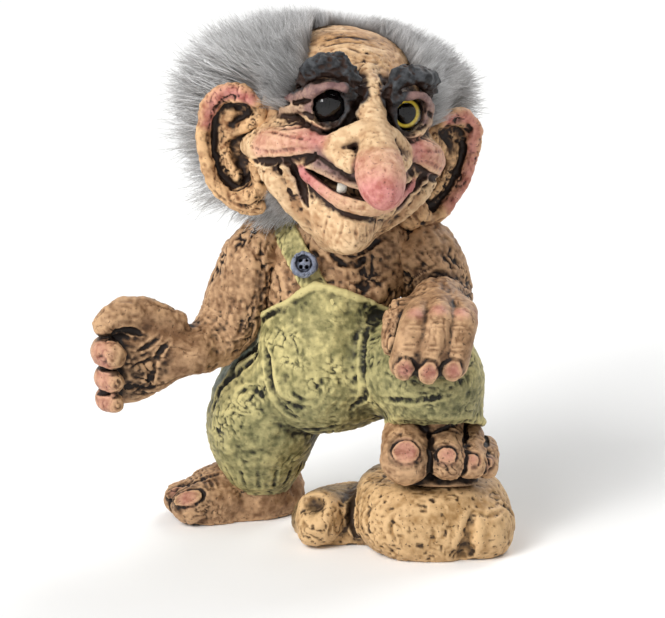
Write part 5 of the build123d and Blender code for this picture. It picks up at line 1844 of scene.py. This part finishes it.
class TROLL_OT_dungarees(bpy.types.Operator):
    """The dungarees, their shoulder strap and its button"""

    bl_idname = "troll.dungarees"
    bl_label = "Dungarees"

    def execute(self, context):
        cell, depth = given()
        rubber = cloth_rubber()
        skin = Skin(model_dungarees(cell * 1.1))
        skin.spray("shade", [(-8, -26, 56), (-20, -22, 52), (-30, -8, 44), (-34, 0, 30)], 14, 10, 0.6)
        skin.spray("shade", [(24, -36, 88), (40, -52, 80), (46, -48, 66)], 18, 10, 0.6)
        # Grey-green painted highlight along the right hip's fold and down the left calf's outer side
        skin.spray("slate", [(-33, -4, 86), (-42, 0, 74), (-50, 4, 62)], 4, 3, 0.9)
        skin.spray("slate", [(62, -30, 84), (63, -28, 70), (60, -24, 56)], 5, 4, 0.8)
        # Near-black painted shade under the left arm along the bib and belly, between the legs, and on the
        # knee under the hand
        skin.spray(
            "stain_and_shade", [(14, -18, 96), (20, -22, 84), (18, -24, 72), (6, -22, 56), (-8, -16, 48)], 5, 5, 0.9
        )
        skin.spray("stain_and_shade", [(-6, -4, 46), (-12, 4, 40), (-14, 10, 30)], 9, 6, 0.9)
        skin.spray("stain_and_shade", [(34, -50, 88), (46, -50, 80), (52, -44, 66), (36, -48, 62)], 12, 9, 0.32)
        skin.wrinkle(3.4, depth, None, 80, 0.9, 0.2, 0.3)
        skin.weather_and_shading()
        finish_piece("dungarees_cloth", skin, rubber, "dungarees", "cloth_rubber")
        skin = Skin(model_strap(cell * 0.85))
        skin.wrinkle(2.4, depth * 0.7, skin.points * (1, 1, 0.5), 90, 1.0, 0.2)
        skin.weather_and_shading()
        finish_piece("strap_cloth", skin, rubber, "shoulder_strap", "cloth_rubber")
        skin = Skin(model_button(0.3))
        skin.wrinkle(1.6, depth * 0.6, None, 95, 1.0, 0.2, 0)
        skin.weather_and_shading(0.2, 4, 20)
        finish_piece("button_cast", skin, button_rubber(), "strap_button", "button_rubber")
        return {"FINISHED"}


class TROLL_OT_rock(bpy.types.Operator):
    """The stone under the left foot"""

    bl_idname = "troll.rock"
    bl_label = "Stone"

    def execute(self, context):
        cell, depth = given()
        skin = Skin(model_rock(cell * 1.1))
        skin.spray("moss", [(-15, -10, 12), (-2, -12, 18), (8, -14, 20), (22, -4, 24)], 11, 4, 0.9)
        # Near-black painted shade on the knob's broken face, in the crack and in the notch between the lobes
        skin.spray("stain_and_shade", [KNOB_FACE], 5, 3, 0.65)
        skin.spray("stain_and_shade", [(8, -21, 22), (8.5, -28, 14), (9.5, -32, 5)], 1.8, 2, 0.9)
        skin.spray("stain_and_shade", [(54.5, -54, 3), (55, -52, 7)], 3.2, 3, 0.9)
        skin.wrinkle(5.0, depth * 0.7, None, 100, 1.0, 0.12, 1.6)
        skin.stand(0)
        skin.weather_and_shading(0.3)
        finish_piece("stone_cast", skin, stone_rubber(), "rock", "stone_rubber")
        return {"FINISHED"}


class TROLL_OT_wig(bpy.types.Operator):
    """The wig's fur, and the finish of the hide that it grows from"""

    bl_idname = "troll.wig"
    bl_label = "Wig"

    def execute(self, context):
        settings = context.scene.troll_settings
        points, quads, comb, pile = model_scalp()
        middles = points[quads].mean(1)
        order = np.argsort(np.arctan2(middles[:, 0], middles[:, 1] - 4))
        corners = points[quads]
        area = np.cross(corners[:, 2] - corners[:, 0], corners[:, 3] - corners[:, 1])
        area = np.linalg.norm(area, axis=1) / 2
        shares = np.cumsum(area[order]) / area.sum()
        patches = int(np.ceil(area.sum() * settings.fur_density / STRANDS_ON_A_PATCH))
        tree, finish = fur_growth(), silver_fur()
        world = (HEAD_AT + FIGURE + points @ HEAD_AXES) * MM
        for index in range(patches):
            chosen = quads[order[(shares > index / patches) & (shares <= (index + 1) / patches)]]
            scalp = mesh_from("scalp", world, chosen, {"pile": pile * MM})
            attribute = scalp.data.attributes.new("comb", "FLOAT_VECTOR", "POINT")
            attribute.data.foreach_set("vector", np.ascontiguousarray(comb @ HEAD_AXES, np.float32).ravel())
            values = {"Density": settings.fur_density / MM**2, "Curl": settings.fur_curl}
            values |= {"Seed": index + 1, "Finish": finish}
            grow_fur(tree, f"fur_{index + 1}", scalp, values)
        refinish("wig_hide", grey_hide())
        return {"FINISHED"}


class TROLL_OT_wire(bpy.types.Operator):
    """The finish of the pin in the stone and the eyes' stems"""

    bl_idname = "troll.wire"
    bl_label = "Wire"

    def execute(self, context):
        wire = drawn_wire()
        for name in ("foot_pin", "right_eye_stem", "left_eye_stem"):
            refinish(name, wire)
        return {"FINISHED"}


# The stage: a softbox gives the eyes their glint, so the key lamp is kept out of reflections
FLOOR_HALF = 6.0
STUDIO_GLOW = 0.31
SUNS = (("key_light", (-1.0, -0.95, 1.2), 38, 2.1, False), ("rim_light", (0.7, 0.9, 1.1), 40, 1.35, True))
SOFTBOX_AT, SOFTBOX_AIM, SOFTBOX_SIZE, SOFTBOX_POWER = (-0.9, -1.15, 1.05), (0, 0, 0.19), 0.4, 10
CAMERA_AIM, CAMERA_RISE, CAMERA_REACH, CAMERA_LENS = (0, 0, 97.5), radians(15), 1.3, 163.7


def aimed(name, data, place, behind):
    """Puts a lamp or the camera at a place in the scene, with its back to a direction."""
    holder = bpy.data.objects.new(name, data)
    bpy.context.scene.collection.objects.link(holder)
    holder.location = place
    holder.rotation_euler = Vector(behind).to_track_quat("Z", "Y").to_euler()
    return holder


class TROLL_OT_stage(bpy.types.Operator):
    """The pale floor and backdrop, the lamps and the camera"""

    bl_idname = "troll.stage"
    bl_label = "Stage"

    def execute(self, context):
        scene = context.scene
        scene.view_settings.view_transform = "Standard"
        paper = blank_material("matt_white_paper", Roughness=0.9, Base_Color=colour("#fafaf9"))[0]
        corners = FLOOR_HALF * np.array([(-1, -1, 0), (1, -1, 0), (1, 1, 0), (-1, 1, 0)])
        floor = mesh_from("floor", corners, np.array([(0, 1, 2, 3)]), {})
        floor.data.materials.append(paper)
        world = bpy.data.worlds.new("studio")
        scene.world = world
        world.use_nodes = True
        world.node_tree.nodes.clear()
        add = partial(node, world.node_tree)
        rays = add("ShaderNodeLightPath").outputs
        seen = add(
            "ShaderNodeMath",
            {0: rays["Is Camera Ray"], 1: rays["Is Transmission Ray"]},
            operation="MAXIMUM",
        )
        seen = add("ShaderNodeMath", {0: seen, 1: rays["Is Glossy Ray"]}, operation="MAXIMUM")
        strength = add("ShaderNodeMapRange", {"Value": seen, "To Min": STUDIO_GLOW, "To Max": 1.0})
        sky = add("ShaderNodeBackground", {"Color": (1, 1, 1, 1), "Strength": strength})
        add("ShaderNodeOutputWorld", {"Surface": sky})
        for name, place, spread, power, glossy in SUNS:
            lamp = bpy.data.lights.new(name, "SUN")
            lamp.angle, lamp.energy = radians(spread), power
            aimed(name, lamp, (0, 0, 0), place).visible_glossy = glossy
        glint = bpy.data.lights.new("glint_softbox", "AREA")
        glint.size, glint.energy = SOFTBOX_SIZE, SOFTBOX_POWER
        aimed("glint_softbox", glint, SOFTBOX_AT, np.array(SOFTBOX_AT) - SOFTBOX_AIM)
        camera = bpy.data.cameras.new("camera")
        camera.sensor_width, camera.lens, camera.clip_end = 36, CAMERA_LENS, 50
        back = np.array((0, -cos(CAMERA_RISE), sin(CAMERA_RISE)))
        holder = aimed("camera", camera, (FIGURE + CAMERA_AIM) * MM + back * CAMERA_REACH, back)
        scene.camera = holder
        return {"FINISHED"}


STEPS = (
    TROLL_OT_rock,
    TROLL_OT_feet,
    TROLL_OT_dungarees,
    TROLL_OT_torso,
    TROLL_OT_arms,
    TROLL_OT_head,
    TROLL_OT_ears,
    TROLL_OT_eyes,
    TROLL_OT_tooth,
    TROLL_OT_wire,
    TROLL_OT_wig,
    TROLL_OT_stage,
)


class TROLL_PT_panel(bpy.types.Panel):
    """Lists the figure's settings and the steps that make it"""

    bl_idname = "TROLL_PT_panel"
    bl_label = "Folk troll"
    bl_space_type = "VIEW_3D"
    bl_region_type = "UI"
    bl_category = "Troll"

    def draw(self, context):
        settings = context.scene.troll_settings
        for name in settings.__annotations__:
            self.layout.prop(settings, name)
        for step in STEPS:
            self.layout.operator(step.bl_idname)


CLASSES = (TrollSettings, *STEPS, TROLL_PT_panel)


def register():
    """Adds the settings, steps and panel."""
    for made in CLASSES:
        bpy.utils.register_class(made)
    bpy.types.Scene.troll_settings = PointerProperty(type=TrollSettings)


def unregister():
    """Takes them away again."""
    del bpy.types.Scene.troll_settings
    for made in reversed(CLASSES):
        bpy.utils.unregister_class(made)


def main():
    """Makes the figure step by step."""
    register()
    for step in STEPS:
        getattr(bpy.ops.troll, step.bl_idname.split(".")[1])()


if __name__ == "__main__":
    main()
